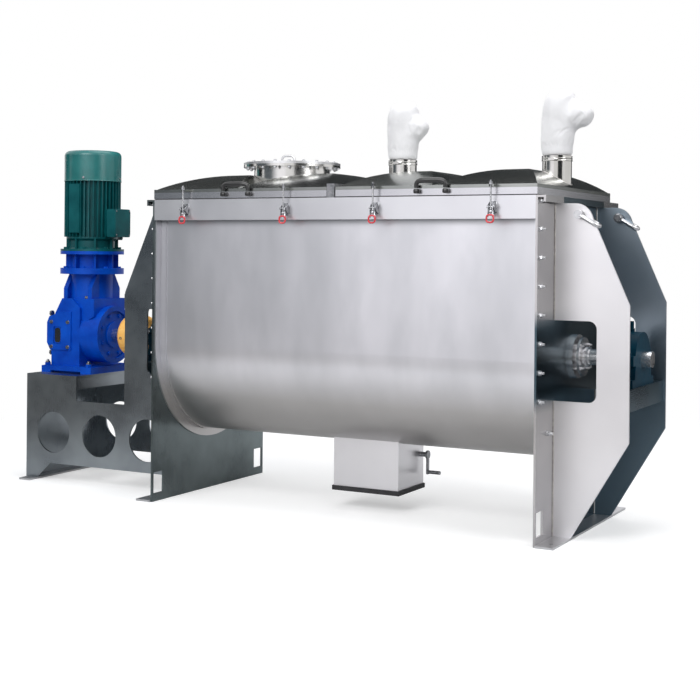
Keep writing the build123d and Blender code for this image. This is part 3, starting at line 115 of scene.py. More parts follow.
class Finish:
    """One material: a Principled shader and the nodes that feed it, kept by name in finishes."""

    def __init__(self, name, **constants):
        finishes[name] = bpy.data.materials.new(name)
        finishes[name].use_nodes = True
        self.tree = finishes[name].node_tree
        self.shader = self.tree.nodes["Principled BSDF"]
        for socket, value in constants.items():
            self.shader.inputs[socket.replace("_", " ")].default_value = value
        self.place = Value(self, self.tree.nodes.new("ShaderNodeTexCoord").outputs["Object"])

    def node(self, kind, settings=None, inputs=None, output=0):
        """Add a shader node of a kind: its settings first, then its sockets, as values or links."""
        made = self.tree.nodes.new("ShaderNode" + kind)
        for key, value in (settings or {}).items():
            setattr(made, key, value)
        for key, value in (inputs or {}).items():
            if isinstance(value, Value):
                self.tree.links.new(value.socket, made.inputs[key])
            else:
                made.inputs[key].default_value = value
        return Value(self, made.outputs[output])

    def along(self, axis):
        """The place on one axis of the piece: 0 for x, 1 for y, 2 for z."""
        return self.node("SeparateXYZ", None, {0: self.place}, axis)

    def noise(self, scale, detail, roughness, squeeze=(1, 1, 1)):
        """Cloudy noise between 0 and 1, squeezed along the axes by the factors given."""
        placed = self.node("Mapping", None, {0: self.place, 3: squeeze})
        return self.node("TexNoise", None,
                         {"Vector": placed, "Scale": scale, "Detail": detail, "Roughness": roughness})

    def lines(self, grain):
        """The lines that a brushing belt leaves, along the axis that grain squeezes least."""
        return self.noise(14.0, 4.0, 0.65, grain)

    def mix(self, factor, first, second):
        """A colour between first and second, each a value or (red, green, blue)."""
        first, second = (c if isinstance(c, Value) else c + (1,) for c in (first, second))
        return self.node("Mix", {"data_type": "RGBA"}, {0: factor, 6: first, 7: second}, 2)

    def bump(self, height, strength, distance):
        """A normal tilted by the slope of height."""
        return self.node("Bump", None,
                         {"Strength": strength, "Distance": distance, "Height": height})

    def feed(self, **links):
        """Link values to the Principled shader's sockets."""
        for socket, value in links.items():
            self.tree.links.new(value.socket, self.shader.inputs[socket.replace("_", " ")])


# %% [markdown]
# ## Steel, three ways
# The trough is brushed: a belt leaves fine lines along its length, so its highlights
# spread across the lines. Plates are brushed up and down. Pipes, domes and the shaft are
# polished. Every recipe starts alike: noise stretched hard along the grain drives the
# roughness and a shallow bump, and a second, lazy noise gives the cloudy patches that
# hand-finished sheet has.

# %% Brushed and polished steel
# painted shadow: the trough's wall is painted darker under the rim, where the rim's overhang shades it
RIM_SHADOW = 1.690, 1.738  # the trough's wall darkens here, under the rim
# painted shade: the wall is painted darker and warmer towards the belly, which faces the shaded floor under
# the machine
BELLY_SHADE = 0.88, 0.66  # and turns here into the belly
# painted reflection: above LID_EDGE a lid's vault is painted dark, as a mirror of a dark ceiling; the
# upturned edge below stays pale
LID_EDGE = 1.9035, 1.9065  # top of a lid's upturned edge, where its vault starts
GUSSET_FACES = 0.361, 0.364  # between a gusset's faces, from the middle of the machine
BAY_SIDES = 0.352, 0.357  # the bay between the gussets ends here
WINDOW_SILL = 0.70, 0.785  # the access windows, from below
WINDOW_HEAD = 1.25, 1.155  # and from above


def brushed_steel(name, colour, dark, roughness, grain, scratch=0.35, patch=1.5):
    """Steel whose grain runs along the axis that grain squeezes least."""
    steel = Finish(name, Metallic=1.0, Anisotropic=0.35)
    lines = steel.lines(grain)
    fine = steel.noise(160.0, 2.0, 0.5, tuple(0.02 * g if g < 2 else 0.4 * g / 60 for g in grain))
    tone = steel.noise(patch, 3.0, 0.55).between(0.30, 0.72)
    steel.feed(Base_Color=steel.mix(tone, dark, colour),
               Roughness=roughness - 0.05 + 0.10 * lines + 0.08 * tone,
               Normal=steel.bump(lines + scratch * fine, 0.10, 0.0004))


def trough_steel():
    """Belt-brushed sheet: polished patches on the flat wall, a darker band of painted shadow in the
    rim's corner and a darker, warmer belly of painted shade, which faces the floor under the machine."""
    steel = Finish("trough_sheet_steel", Metallic=1.0, Anisotropic=0.3)
    lines = steel.lines((1, 60, 60))
    drawn = steel.noise(2.2, 3.0, 0.55, (1, 1, 0.35))
    patch = steel.noise(5.0, 3.0, 0.5, (1, 1, 0.5))
    height = steel.along(2)
    tone = steel.mix(drawn.between(0.32, 0.70), (0.56, 0.565, 0.595), (0.75, 0.745, 0.785))
    tone = steel.mix(0.35 * patch.between(0.45, 0.75), tone, (0.50, 0.51, 0.54))
    # painted shadow of the rim's overhang on the wall below it
    tone = steel.mix(height.between(*RIM_SHADOW) ** 2.0, tone, (0.20, 0.21, 0.22))
    # painted shade on the belly, which faces the shaded floor
    tone = steel.mix(0.75 * height.between(*BELLY_SHADE), tone, (0.445, 0.43, 0.41))
    steel.feed(Base_Color=tone, Roughness=0.27 + 0.10 * lines + 0.07 * drawn,
               Normal=steel.bump(lines + 0.5 * patch, 0.10, 0.0004))


def painted_shading_steel(name, axis, change, before, after, roughness, grain, foot=None):
    """Brushed steel with painted shading: it changes from the colours before to the colours after
    over a short way (start, end) on one axis. foot is (start height, end height, colour): the
    painted shade that the first tone sinks to further down."""
    steel = Finish(name, Metallic=1.0, Anisotropic=0.3)
    lines = steel.lines(grain)
    cloud = steel.noise(2.4, 3.0, 0.55)
    first, second = (steel.mix(cloud.between(0.3, 0.7), *pair) for pair in (before, after))
    if foot:
        first = steel.mix(0.85 * steel.along(2).between(*foot[:2]), first, foot[2])
    steel.feed(Base_Color=steel.mix(steel.along(axis).between(*change), first, second),
               Roughness=roughness + 0.10 * lines + 0.06 * cloud, Normal=steel.bump(lines, 0.10, 0.0004))


def bay_plate():
    """The right end plate: polished, dark at the height of the access windows and between the
    gussets, where it has only the shaded bay to mirror, and mid grey elsewhere."""
    steel = Finish("right_end_steel", Metallic=1.0, Anisotropic=0.2)
    lines = steel.lines((60, 60, 1))
    cloud = steel.noise(2.4, 3.0, 0.55).between(0.3, 0.7)
    across, up = steel.along(1), steel.along(2)
    outside = (across * across).between(BAY_SIDES[0] ** 2, BAY_SIDES[1] ** 2)
    window = up.between(*WINDOW_SILL) * up.between(*WINDOW_HEAD)
    inside = 1.0 - outside * (1.0 - window)
    pale = steel.mix(cloud, (0.56, 0.55, 0.55), (0.46, 0.45, 0.46))
    shade = steel.mix(cloud, (0.11, 0.155, 0.185), (0.045, 0.078, 0.10))
    steel.feed(Base_Color=steel.mix(inside, pale, shade), Roughness=0.17 + 0.10 * lines,
               Normal=steel.bump(lines, 0.08, 0.0004))


trough_steel()
bay_plate()
for recipe in (
        ("plate_steel", (0.64, 0.64, 0.655), (0.52, 0.525, 0.54), 0.30, (60, 60, 1)),
        # painted light: the front gusset's steel is paler than plate_steel, a painted bright reflection
        ("gusset_steel", (0.82, 0.81, 0.83), (0.72, 0.71, 0.73), 0.32, (60, 60, 1)),
        # painted shade: the drive-end plates and the left end plate are painted darker and cooler than
        # plate_steel, as a mirror of dark surroundings at the front left
        ("drive_plate_steel_painted_shade", (0.345, 0.38, 0.405), (0.18, 0.20, 0.22), 0.25, (60, 60, 1), 0.35, 2.4),
        ("left_end_steel_painted_shade", (0.19, 0.225, 0.23), (0.10, 0.12, 0.125), 0.25, (60, 60, 1), 0.35, 2.4),
        # painted shade: the bearing beams in the shaded bay are painted dark and bluish
        ("beam_steel_painted_shade", (0.09, 0.155, 0.20), (0.04, 0.075, 0.10), 0.26, (60, 1, 60)),
        ("rim_steel", (0.74, 0.74, 0.77), (0.62, 0.62, 0.65), 0.28, (1, 60, 60)),
        ("pipe_steel", (0.70, 0.69, 0.68), (0.52, 0.51, 0.49), 0.11, (30, 30, 1), 0.2, 3.0),
        ("shaft_steel", (0.74, 0.74, 0.75), (0.62, 0.62, 0.64), 0.2, (60, 1, 1), 0.3, 6.0),
        ("ribbon_steel", (0.72, 0.72, 0.73), (0.60, 0.60, 0.62), 0.26, (8, 20, 20), 0.3, 4.0),
        ("zinc_steel", (0.70, 0.70, 0.72), (0.50, 0.51, 0.53), 0.26, (6, 6, 6), 0.5, 40.0),
        ("clamp_steel", (0.56, 0.56, 0.58), (0.26, 0.27, 0.29), 0.20, (8, 8, 8), 0.4, 60.0),
        ("weld_steel", (0.62, 0.60, 0.57), (0.40, 0.38, 0.38), 0.30, (12, 12, 12), 0.5, 60.0),
        ("dark_steel", (0.34, 0.34, 0.36), (0.16, 0.17, 0.18), 0.30, (8, 8, 8), 0.4, 60.0)):
    brushed_steel(*recipe)
# painted reflection: the lids' vaults are painted dark grey-green, their upturned edges pale
painted_shading_steel("lid_steel_painted_dark_vault", 2, LID_EDGE, ((0.62, 0.62, 0.65), (0.53, 0.53, 0.56)),
               ((0.38, 0.392, 0.378), (0.26, 0.272, 0.266)), 0.15, (1, 30, 30))
# painted shade: the rear gusset's face towards the bay is painted bluish dark, and darker still below the
# bearing beam
painted_shading_steel("rear_gusset_steel_painted_shade", 1, GUSSET_FACES, ((0.46, 0.53, 0.60), (0.36, 0.43, 0.50)),
               ((0.62, 0.62, 0.635), (0.52, 0.525, 0.54)), 0.24, (60, 60, 1),
               (1.15, 0.80, (0.19, 0.27, 0.33)))
print("steels made")

# %% [markdown]
# ## Paint, rubber and plastic
# Cast housings are sprayed: the enamel keeps a trace of the sand casting as a soft
# orange peel and pools a little darker in places. Moulded rubber is duller, with a fine
# grain.

# %% Enamel, rubber and plastic
def enamel(name, colour, deep, roughness, coat, shine=0.45):
    """Sprayed paint on a casting: two depths of one colour and orange peel."""
    paint = Finish(name, Coat_Weight=coat, Coat_Roughness=0.12, Specular_IOR_Level=shine)
    cloud = paint.noise(7.0, 4.0, 0.6)
    peel = paint.noise(260.0, 2.0, 0.5)
    cast = paint.noise(45.0, 4.0, 0.6)
    paint.feed(Base_Color=paint.mix(cloud.between(0.3, 0.7), deep, colour),
               Roughness=roughness + 0.14 * cloud.between(0.35, 0.7),
               Normal=paint.bump(0.5 * peel + cast, 0.22, 0.0009))


def moulded(name, colour, worn, roughness, grain=420.0, bump=0.12, coat=0.0):
    """Rubber or plastic from a mould: a fine grain and slightly paler rubbed patches."""
    stuff = Finish(name, Coat_Weight=coat)
    rubbed = stuff.noise(18.0, 4.0, 0.6)
    fine = stuff.noise(grain, 2.0, 0.5)
    stuff.feed(Base_Color=stuff.mix(rubbed.between(0.45, 0.8), colour, worn),
               Roughness=roughness + 0.12 * rubbed, Normal=stuff.bump(fine, bump, 0.0005))


enamel("gearbox_blue", (0.0, 0.088, 0.60), (0.0, 0.045, 0.40), 0.36, 0.0, 0.16)
enamel("motor_green", (0.003, 0.112, 0.122), (0.001, 0.064, 0.074), 0.32, 0.03, 0.22)
enamel("cowl_green", (0.016, 0.175, 0.172), (0.010, 0.120, 0.120), 0.26, 0.25)
enamel("bearing_teal", (0.0, 0.034, 0.060), (0.0, 0.016, 0.032), 0.36, 0.0, 0.08)
moulded("orange_tyre", (1.0, 0.52, 0.115), (1.0, 0.58, 0.16), 0.42, 300.0, 0.10, 0.1)
moulded("black_rubber", (0.014, 0.014, 0.016), (0.035, 0.035, 0.037), 0.55)
moulded("black_plastic", (0.012, 0.012, 0.013), (0.028, 0.028, 0.030), 0.32, 500.0, 0.08, 0.2)
moulded("red_grip", (0.62, 0.030, 0.045), (0.72, 0.075, 0.085), 0.34, 500.0, 0.08, 0.25)
moulded("sight_glass", (0.012, 0.014, 0.018), (0.030, 0.026, 0.016), 0.08, 60.0, 0.02, 0.6)
print("paints and plastics made")

# %% [markdown]
# ## Filter cloth
# The bags are needled felt with a fine plain weave pressed into its face. Two crossed
# waves make the weave, noise makes the felt's fluff, and a soft sheen catches the light
# at the edges.

# %% Woven felt
cloth = Finish("bag_cloth", Sheen_Weight=0.35, Sheen_Roughness=0.5)


def threads(direction, scale):
    """One of the weave's two sets of threads, as waves across a direction."""
    wave = cloth.node("TexWave", {"wave_type": "BANDS", "bands_direction": direction},
                      {"Vector": cloth.place, "Scale": scale, "Distortion": 1.2})
    return cloth.node("RGBToBW", None, {0: wave})


weave = threads("Z", 130.0) * 0.5 + 0.5 * threads("DIAGONAL", 110.0)
fluff = cloth.noise(60.0, 4.0, 0.6)
stain = cloth.noise(9.0, 3.0, 0.5)
cloth.feed(Base_Color=cloth.mix(stain.between(0.35, 0.75), (0.87, 0.865, 0.88), (0.80, 0.795, 0.81)),
           Roughness=0.82 + 0.12 * fluff, Normal=cloth.bump(weave + fluff, 0.35, 0.0009))
print("felt made")

# %% [markdown]
# ## Give each CAD node its finish
# A node's shape is right already, so it only needs its material. Names are matched to
# finishes in one table, and the last line reports any node that is left without one.

# %% Finishes for the CAD nodes
node_finish = {
    "trough_sheet_steel": ["trough_shell", "trough_flanges"],
    "rim_steel": ["trough_rims"],
    # centre_bar gets dark steel as painted shade: it lies in the shaded gap between the lids
    "dark_steel": ["centre_bar", "flap_shaft"],
    "gusset_steel": ["gusset_right_front", "outlet_box"],
    "drive_plate_steel_painted_shade": ["drive_side_plate_front", "drive_side_plate_rear", "gearbox_seat"],
    "left_end_steel_painted_shade": ["end_plate_left"],
    "right_end_steel": ["end_plate_right"],
    "rear_gusset_steel_painted_shade": ["gusset_right_rear"],
    "beam_steel_painted_shade": ["bearing_beams"],
    "plate_steel": ["port_cover", "foot_plates", "hinge_brackets", "outlet_flap"],
    "lid_steel_painted_dark_vault": ["lid_left", "lid_right"],
    "pipe_steel": ["charging_port", "dust_nozzles", "bag_clamps"],
    "shaft_steel": ["shaft_tube", "stub_shafts", "gearbox_output_shaft", "coupling_hubs",
                    "seal_housings", "gland_followers"],
    "ribbon_steel": ["outer_ribbon_left", "outer_ribbon_right", "inner_ribbons", "ribbon_arms"],
    "zinc_steel": ["end_plate_bolts", "port_bolts", "clamp_bases", "shackle_front", "shackle_rear"]
                  + [f"clamp_{part}_{index}" for part in ("lever", "rod") for index in range(1, 5)],
    "gearbox_blue": ["gearbox_housing", "motor_lantern"],
    "motor_green": ["motor_housing", "terminal_box", "motor_fan"],
    "cowl_green": ["motor_cowl"],
    "bearing_teal": ["bearing_housings"],
    "orange_tyre": ["coupling_tyre"],
    "black_rubber": ["lid_gaskets", "outlet_collar"],
    "black_plastic": ["lid_grip_left", "lid_grip_right"],
}


def dress(mesh, finish):
    """Give a mesh this one finish."""
    mesh.materials.clear()
    mesh.materials.append(finishes[finish])


for finish, names in node_finish.items():
    for name in names:
        dress(nodes[name].data, finish)
print("still plain:", sorted(set(nodes) - set(sum(node_finish.values(), []))))

# %% [markdown]
# ## Surfaces from arrays
# A new piece is made of grids of points, worked out at once with numpy. A lathe turns a
# profile about an axis, and a tube carries a circle along a path. Both close their seams
# by wrapping the grid's last column round to the first.

# %% Mesh helpers
def vertex_data(mesh, kind="co"):
    """The place (co) or the normal of every point of a mesh, as rows of an array."""
    values = np.empty(len(mesh.vertices) * 3)
    mesh.vertices.foreach_get(kind, values)
    return values.reshape(-1, 3)


def full_turn(steps):
    """Equal angles round a full turn."""
    return np.linspace(0, 2 * math.pi, steps, endpoint=False)


def grid_faces(rows, columns, wrap_rows=False):
    """Quads between neighbouring points of a grid whose columns close to a ring. Without
    wrap_rows, a cap closes the first row and another the last."""
    r = np.arange(rows if wrap_rows else rows - 1)[:, None]
    c = np.arange(columns)[None, :]
    r2, c2 = (r + 1) % rows, (c + 1) % columns
    quads = np.stack([r * columns + c, r * columns + c2, r2 * columns + c2, r2 * columns + c], -1)
    first, last = list(range(columns)), list(range((rows - 1) * columns, rows * columns))
    return quads.reshape(-1, 4).tolist() + ([] if wrap_rows else [first[::-1], last])


# Two directions across each axis and the one along it
AXES = {"X": np.array([[0, 1, 0], [0, 0, 1], [1, 0, 0.0]]),
        "Y": np.array([[0, 0, 1], [1, 0, 0], [0, 1, 0.0]]),
        "Z": np.array([[1, 0, 0], [0, 1, 0], [0, 0, 1.0]])}


def spokes(angle, axis):
    """Unit vectors across an axis, one for each angle a: cos(a) u + sin(a) v."""
    u, v = AXES[axis][:2]
    return np.cos(angle)[:, None] * u + np.sin(angle)[:, None] * v


def lathe(profile, centre, axis="Z", steps=32):
    """Turn a closed profile of (radius, height) about an axis through centre: each point is
    centre + radius times a spoke + height along the axis."""
    profile = np.asarray(profile, float)[:, :, None, None]
    points = profile[:, 0] * spokes(full_turn(steps), axis)[None] + profile[:, 1] * AXES[axis][2]
    return points + np.asarray(centre, float), grid_faces(len(profile), steps, True)


def hexagon(across, low, high, centre, axis="Z", turn=0.0, bevel=0.12):
    """A bolt head: six sides between two heights along an axis, with chamfered rims."""
    r = across / 2 / math.cos(math.pi / 6)
    b = bevel * across / 2
    rows = [(r - b, low), (r, low + b * 0.4), (r, high - b * 0.5), (r - b, high)]
    ring = spokes(full_turn(6) + turn, axis)
    points = np.concatenate([q * ring + h * AXES[axis][2] for q, h in rows])
    return points + np.asarray(centre, float), grid_faces(len(rows), 6)


def tube(path, radius, sides=12, closed=False):
    """Carry a circle along a path: at each point it lies across the path's direction."""
    path = np.asarray(path, float)
    ahead = np.roll(path, -1, 0) - np.roll(path, 1, 0) if closed else np.gradient(path, axis=0)
    ahead /= np.linalg.norm(ahead, axis=1)[:, None]
    up = np.array([0.0, 0.0, 1.0]) if abs(ahead[:, 2]).max() < 0.9 else np.array([0.31, 0.93, 0.2])
    side = np.cross(ahead, up)
    side /= np.linalg.norm(side, axis=1)[:, None]
    top = np.cross(side, ahead)
    angle = full_turn(sides)
    radius = np.broadcast_to(radius, len(path))[:, None, None]
    points = path[:, None] + radius * (np.cos(angle)[None, :, None] * side[:, None]
                                       + np.sin(angle)[None, :, None] * top[:, None])
    return points.reshape(-1, 3), grid_faces(len(path), sides, closed)


def outward(mesh, reach=1e-6):
    """Merge points within reach of each other and turn every face outwards."""
    work = bmesh.new()
    work.from_mesh(mesh)
    bmesh.ops.remove_doubles(work, verts=work.verts, dist=reach)
    bmesh.ops.recalc_face_normals(work, faces=work.faces)
    work.to_mesh(mesh)
    work.free()


def finish_piece(name, shapes, finish, body, replaces=None, angle=35.0):
    """One piece out of several closed shapes (points, faces), riding on a body. Edges bent by
    more than angle stay sharp. A piece may name the CAD node that it replaces."""
    points, faces = [], []
    for shape_points, shape_faces in shapes:
        faces += [[index + len(points) for index in face] for face in shape_faces]
        points += shape_points.reshape(-1, 3).tolist()
    mesh = bpy.data.meshes.new(name)
    mesh.from_pydata(points, [], faces)
    dress(mesh, finish)
    mesh.update()
    mesh.polygons.foreach_set("use_smooth", np.ones(len(mesh.polygons), bool))
    piece = new_object(name, mesh)
    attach(piece, body)
    outward(mesh)
    mesh.set_sharp_from_angle(angle=math.radians(angle))
    if replaces:
        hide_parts(replaces)


print("mesh helpers ready")

# %% [markdown]
# ## Outlines, plates and places
# Small fittings are pressed or forged from a few kinds of shape: a plate with a rounded
# outline, a link that wraps two round eyes, a threaded rod. Their places come from the
# CAD solids, found as clusters of points, so the fittings follow the model.

# %% Plates, links, threads and clusters
def clusters(node, reach):
    """The middle of each separate solid of a node, found as points within reach of each other."""
    points = vertex_data(nodes[node].data)
    middles = []
    while len(points):
        near = np.linalg.norm(points - points[0], axis=1) < reach
        middles.append((points[near].min(0) + points[near].max(0)) / 2)
        points = points[~near]
    return middles


def around(circles, steps=36):
    """The outline of a belt round several circles (u, v, r): in each direction n the point
    c + r n of the circle that reaches furthest."""
    circles = np.asarray(circles, float)
    angle = full_turn(steps)
    n = np.stack([np.cos(angle), np.sin(angle)], 1)
    furthest = np.argmax(n @ circles[:, :2].T + circles[:, 2], 1)
    return circles[furthest, :2] + circles[furthest, 2:] * n


def squircle(half_u, half_v, middle=(0, 0), steps=40, power=5.0):
    """A rectangle with rounded corners: |u/a|^p + |v/b|^p = 1."""
    angle = full_turn(steps)
    c, s = np.cos(angle), np.sin(angle)
    reach = (np.abs(c) ** power + np.abs(s) ** power) ** (-1 / power)
    return np.stack([half_u * reach * c + middle[0], half_v * reach * s + middle[1]], 1)


def slab(outline, low, high, axis="Z", edge=0.0008):
    """A plate: the outline between two heights along an axis, its rims chamfered by edge."""
    outline = np.asarray(outline, float)
    middle = outline.mean(0)
    away = outline - middle
    inner = middle + away * (1 - edge / np.linalg.norm(away, axis=1))[:, None]
    u, v, w = AXES[axis]
    rows = [(inner, low), (outline, low + edge), (outline, high - edge), (inner, high)]
    points = np.concatenate([flat[:, :1] * u + flat[:, 1:] * v + height * w for flat, height in rows])
    return points, grid_faces(len(rows), len(outline))


def thread(radius, low, high, centre, axis="Z", pitch=0.003, depth=0.0007, steps=12):
    """A threaded rod as a lathe profile whose radius zigzags by depth once a pitch."""
    count = int((high - low) / pitch) * 2 + 1
    z = np.linspace(low, high, count)
    r = radius - depth * (np.arange(count) % 2)
    profile = [(0.0003, low)] + list(zip(r, z)) + [(0.0003, high)]
    return lathe(profile, centre, axis, steps)


def disc(radius, low, high, centre, axis="Z", steps=32, edge=0.001):
    """A round plate with softened rims."""
    profile = [(0.0002, low), (radius - edge, low), (radius, low + edge), (radius, high - edge),
               (radius - edge, high), (0.0002, high)]
    return lathe(profile, centre, axis, steps)


print("fittings' shapes ready")

# %% [markdown]
# ## Hexagon bolts with washers
# A bolt head in the CAD model is a bare prism. A real one has a chamfered crown, sits on a
# washer and, on a flange, shows the thread's end. The same builder serves the end plates,
# the port's cover and the gearbox.

# %% Bolts on the end plates and the port's flange
def bolt(place, axis, side, across, height, washer, tail=0.0):
    """Shapes of a washer and a chamfered head on a face at place, pointing along side * axis,
    with a tail of thread past the head."""
    sign = 1.0 if side > 0 else -1.0
    ahead = AXES[axis][2] * sign
    seat = place + ahead * washer
    shapes = [disc(across * 0.62, 0, washer * sign, place, axis, 20, min(0.0006, washer / 3) * sign),
              hexagon(across, 0.0, height * sign, seat, axis, 0.3, 0.14 * sign)]
    if tail > 0:
        low, high = sorted((0, tail * sign))
        shapes.append(thread(across * 0.30, low, high, seat + ahead * height, axis))
    return shapes


FOOT_REACH = 0.104  # the foot plates stand out this far from the end plates
FLANGE_DEPTH = 0.015  # from the port cover down to the lower face of its flange
plate_face = round(float(corners("foot_plates")[1][0]) - FOOT_REACH, 5)
end_bolts = []
for x, y, z in clusters("end_plate_bolts", 0.03):
    side = math.copysign(1.0, x)
    end_bolts += bolt((side * plate_face, y, z), "X", side, 0.024, 0.012, 0.003, 0.016)
finish_piece("end_bolts_and_washers", end_bolts, "zinc_steel", "frame", "end_plate_bolts")

cover_top = corners("port_bolts")[0][2]
flange_bottom = corners("port_cover")[0][2] - FLANGE_DEPTH
cover_bolts = []
for x, y, _ in clusters("port_bolts", 0.04):
    cover_bolts += bolt((x, y, cover_top), "Z", 1, 0.019, 0.006, 0.002, 0.003)
    cover_bolts += bolt((x, y, flange_bottom), "Z", -1, 0.019, 0.008, 0.002, 0.004)
finish_piece("port_cover_bolts", cover_bolts, "zinc_steel", "left_lid", "port_bolts")
print("bolts:", len(end_bolts) // 3, "on the end plates,", len(cover_bolts) // 6, "through the port's flange")

# %% [markdown]
# ## Over-centre clamps
# Each clamp is a pressed base with two ears, a lever of two forged cheeks that end in wire
# and a red dipped loop, and a threaded rod whose nut presses on the lid's fork. The loop is
# soft to the hand and tells the operator what to pull.

# %% Clamp bases, levers and rods
SHEET = 0.0018  # half the thickness of ears and cheeks
RIVET_SEAT = 0.0016  # a rivet's head starts this far from the middle of its sheet
EAR_REACH, CHEEK_REACH = 0.018, 0.0125  # from a clamp's middle to its ears and cheeks
pivot_low, pivot_high = corners("clamp_bases")
rim_front = pivot_high[1]
pivot_y = rim_front - 0.038
pivot_z = pivot_low[2] + 0.040
clamp_xs = [round(float(middle_of(f"clamp_rod_{index}")[0]), 5) for index in range(1, 5)]
fork_top = corners("lid_right")[0][2] + 0.052


def rivet(radius, height, sheet_x, side, z, steps, edge):
    """A rivet's head on the outer side of a sheet that stands at sheet_x."""
    start = sheet_x + RIVET_SEAT if side > 0 else sheet_x - RIVET_SEAT - height
    return disc(radius, 0, height, (start, pivot_y, z), "X", steps, edge)


base_shapes = []
for x in clamp_xs:
    plate = squircle(0.022, 0.037, (x, pivot_z - 0.003))
    base_shapes.append(slab(plate[:, ::-1], rim_front - 0.006, rim_front, "Y", 0.0015))
    ear = around([(rim_front - 0.004, pivot_z - 0.024, 0.006), (rim_front - 0.004, pivot_z + 0.024, 0.006),
                  (pivot_y, pivot_z, 0.009)])
    for side in (-1, 1):
        middle = x + side * EAR_REACH
        base_shapes += [slab(ear, middle - SHEET, middle + SHEET, "X", 0.0008),
                        rivet(0.0065, 0.003, middle, side, pivot_z, 20, 0.0008)]
    for dz in (-0.027, 0.024):
        base_shapes.append(disc(0.0045, -0.0085, -0.006, (x, rim_front, pivot_z + dz), "Y", 16, 0.0008))
finish_piece("clamp_base_pressings", base_shapes, "clamp_steel", "frame", "clamp_bases")


def loop_path(half_width, top, bottom, x, y, lean, steps=48):
    """A rounded loop in the XZ plane: a squircle whose lower part leans forward by lean."""
    flat = squircle(half_width, (top - bottom) / 2, (x, (top + bottom) / 2), steps, 3.2)
    share = (top - flat[:, 1]) / (top - bottom)
    return np.stack([flat[:, 0], y - lean * share, flat[:, 1]], 1)


rod_z = pivot_z - 0.026
for index, x in enumerate(clamp_xs, 1):
    cheek = around([(pivot_y, pivot_z, 0.009), (pivot_y, rod_z, 0.008),
                    (pivot_y - 0.006, rod_z - 0.026, 0.005)])
    shapes = []
    for side in (-1, 1):
        middle = x + side * CHEEK_REACH
        p0, p1, p2 = (np.array((middle + side * out, pivot_y - ahead, rod_z + up)) for out, ahead, up in
                      ((0.0, 0.003, 0.004), (0.002, 0.007, -0.010), (0.004, 0.008, -0.026)))
        bend = np.linspace(0, 1, 12)[:, None]
        shapes += [slab(cheek, middle - SHEET, middle + SHEET, "X", 0.0007),
                   tube((1 - bend) ** 2 * p0 + 2 * bend * (1 - bend) * p1 + bend ** 2 * p2, 0.0028, 10),
                   rivet(0.006, 0.0025, middle, side, rod_z, 18, 0.0007)]
    shapes += [disc(0.004, -0.0145, 0.0145, (x, pivot_y, rod_z), "X", 16),
               disc(0.0038, -0.020, 0.020, (x, pivot_y, pivot_z), "X", 16)]
    lever = f"lever_{index}"
    finish_piece(f"clamp_lever_wires_{index}", shapes, "clamp_steel", lever, f"clamp_lever_{index}")
    loop = tube(loop_path(0.0200, rod_z - 0.018, rod_z - 0.058, x, pivot_y - 0.008, 0.003), 0.0050, 12, True)
    finish_piece(f"clamp_red_loop_{index}", [loop], "red_grip", lever)
    on_rod = (x, pivot_y, 0)
    shapes = [thread(0.005, rod_z + 0.012, fork_top + 0.024, on_rod),
              disc(0.0072, rod_z + 0.004, rod_z + 0.016, on_rod, "Z", 20),
              disc(0.0096, fork_top - 0.0002, fork_top + 0.0009, on_rod, "Z", 24, 0.0003),
              lathe([(0.0045, -0.008), (0.009, -0.008), (0.0095, -0.0065), (0.0095, 0.0065),
                     (0.009, 0.008), (0.0045, 0.008)], (x, pivot_y, rod_z), "X", 28)]
    for across, low, high in ((0.018, 0.0005, 0.0095), (0.017, 0.011, 0.016)):
        shapes.append(hexagon(across, fork_top + low, fork_top + high, on_rod, "Z", 0.26 * index))
    finish_piece(f"clamp_threaded_rod_{index}", shapes, "clamp_steel", f"rod_{index}",
                 f"clamp_rod_{index}")
print("clamps at x =", clamp_xs)

# %% [markdown]
# ## Hose clips round the bag necks
# A worm-drive clip is a thin band with rolled rims, a pressed housing over the worm and a
# screw with a hexagon head. It holds the bag's hem down on the nozzle.

# %% Hose clips
NOZZLE_R = 0.084  # outer radius of a dust nozzle
SCREW_END = 0.014  # a clip's screw reaches this far past the nozzle
clip_low, clip_high = corners("bag_clamps")
nozzle_xs = [float(clip_low[0]) + NOZZLE_R + SCREW_END, float(clip_high[0]) - NOZZLE_R - SCREW_END]
r, z0, z1 = NOZZLE_R + 0.0006, clip_low[2], clip_high[2]
middle = (z0 + z1) / 2
rim = 0.0022
clip_shapes = []
for x in nozzle_xs:
    housing = squircle(0.021, (z1 - z0) * 0.46, (0, 0), 32, 6)[:, ::-1] + (middle, x)
    worm = (x, -r - 0.008, middle)
    clip_shapes += [lathe([(r, z0), (r + 0.0035, z0), (r + 0.0042, z0 + rim), (r + 0.0028, z0 + 2 * rim),
                           (r + 0.0028, z1 - 2 * rim), (r + 0.0042, z1 - rim), (r + 0.0035, z1), (r, z1)],
                          (x, 0, 0), "Z", 72),
                    slab(housing, -r - 0.013, -r - 0.001, "Y", 0.003),
                    disc(0.0062, 0.018, 0.036, worm, "X", 20, 0.0015),
                    hexagon(0.009, 0.036, 0.041, worm, "X")]
finish_piece("hose_clips", clip_shapes, "pipe_steel", "right_lid", "bag_clamps")
print("hose clips at x =", [round(x, 4) for x in nozzle_xs])

# %% [markdown]
# ## Weld beads
# Stainless sheet is joined by hand-laid welds. A bead is a small round ridge whose height
# ripples with every drop of metal. The port and the nozzles stand on vaulted lids, so their
# beads follow the line where pipe and vault meet, found by dropping rays on the lid.

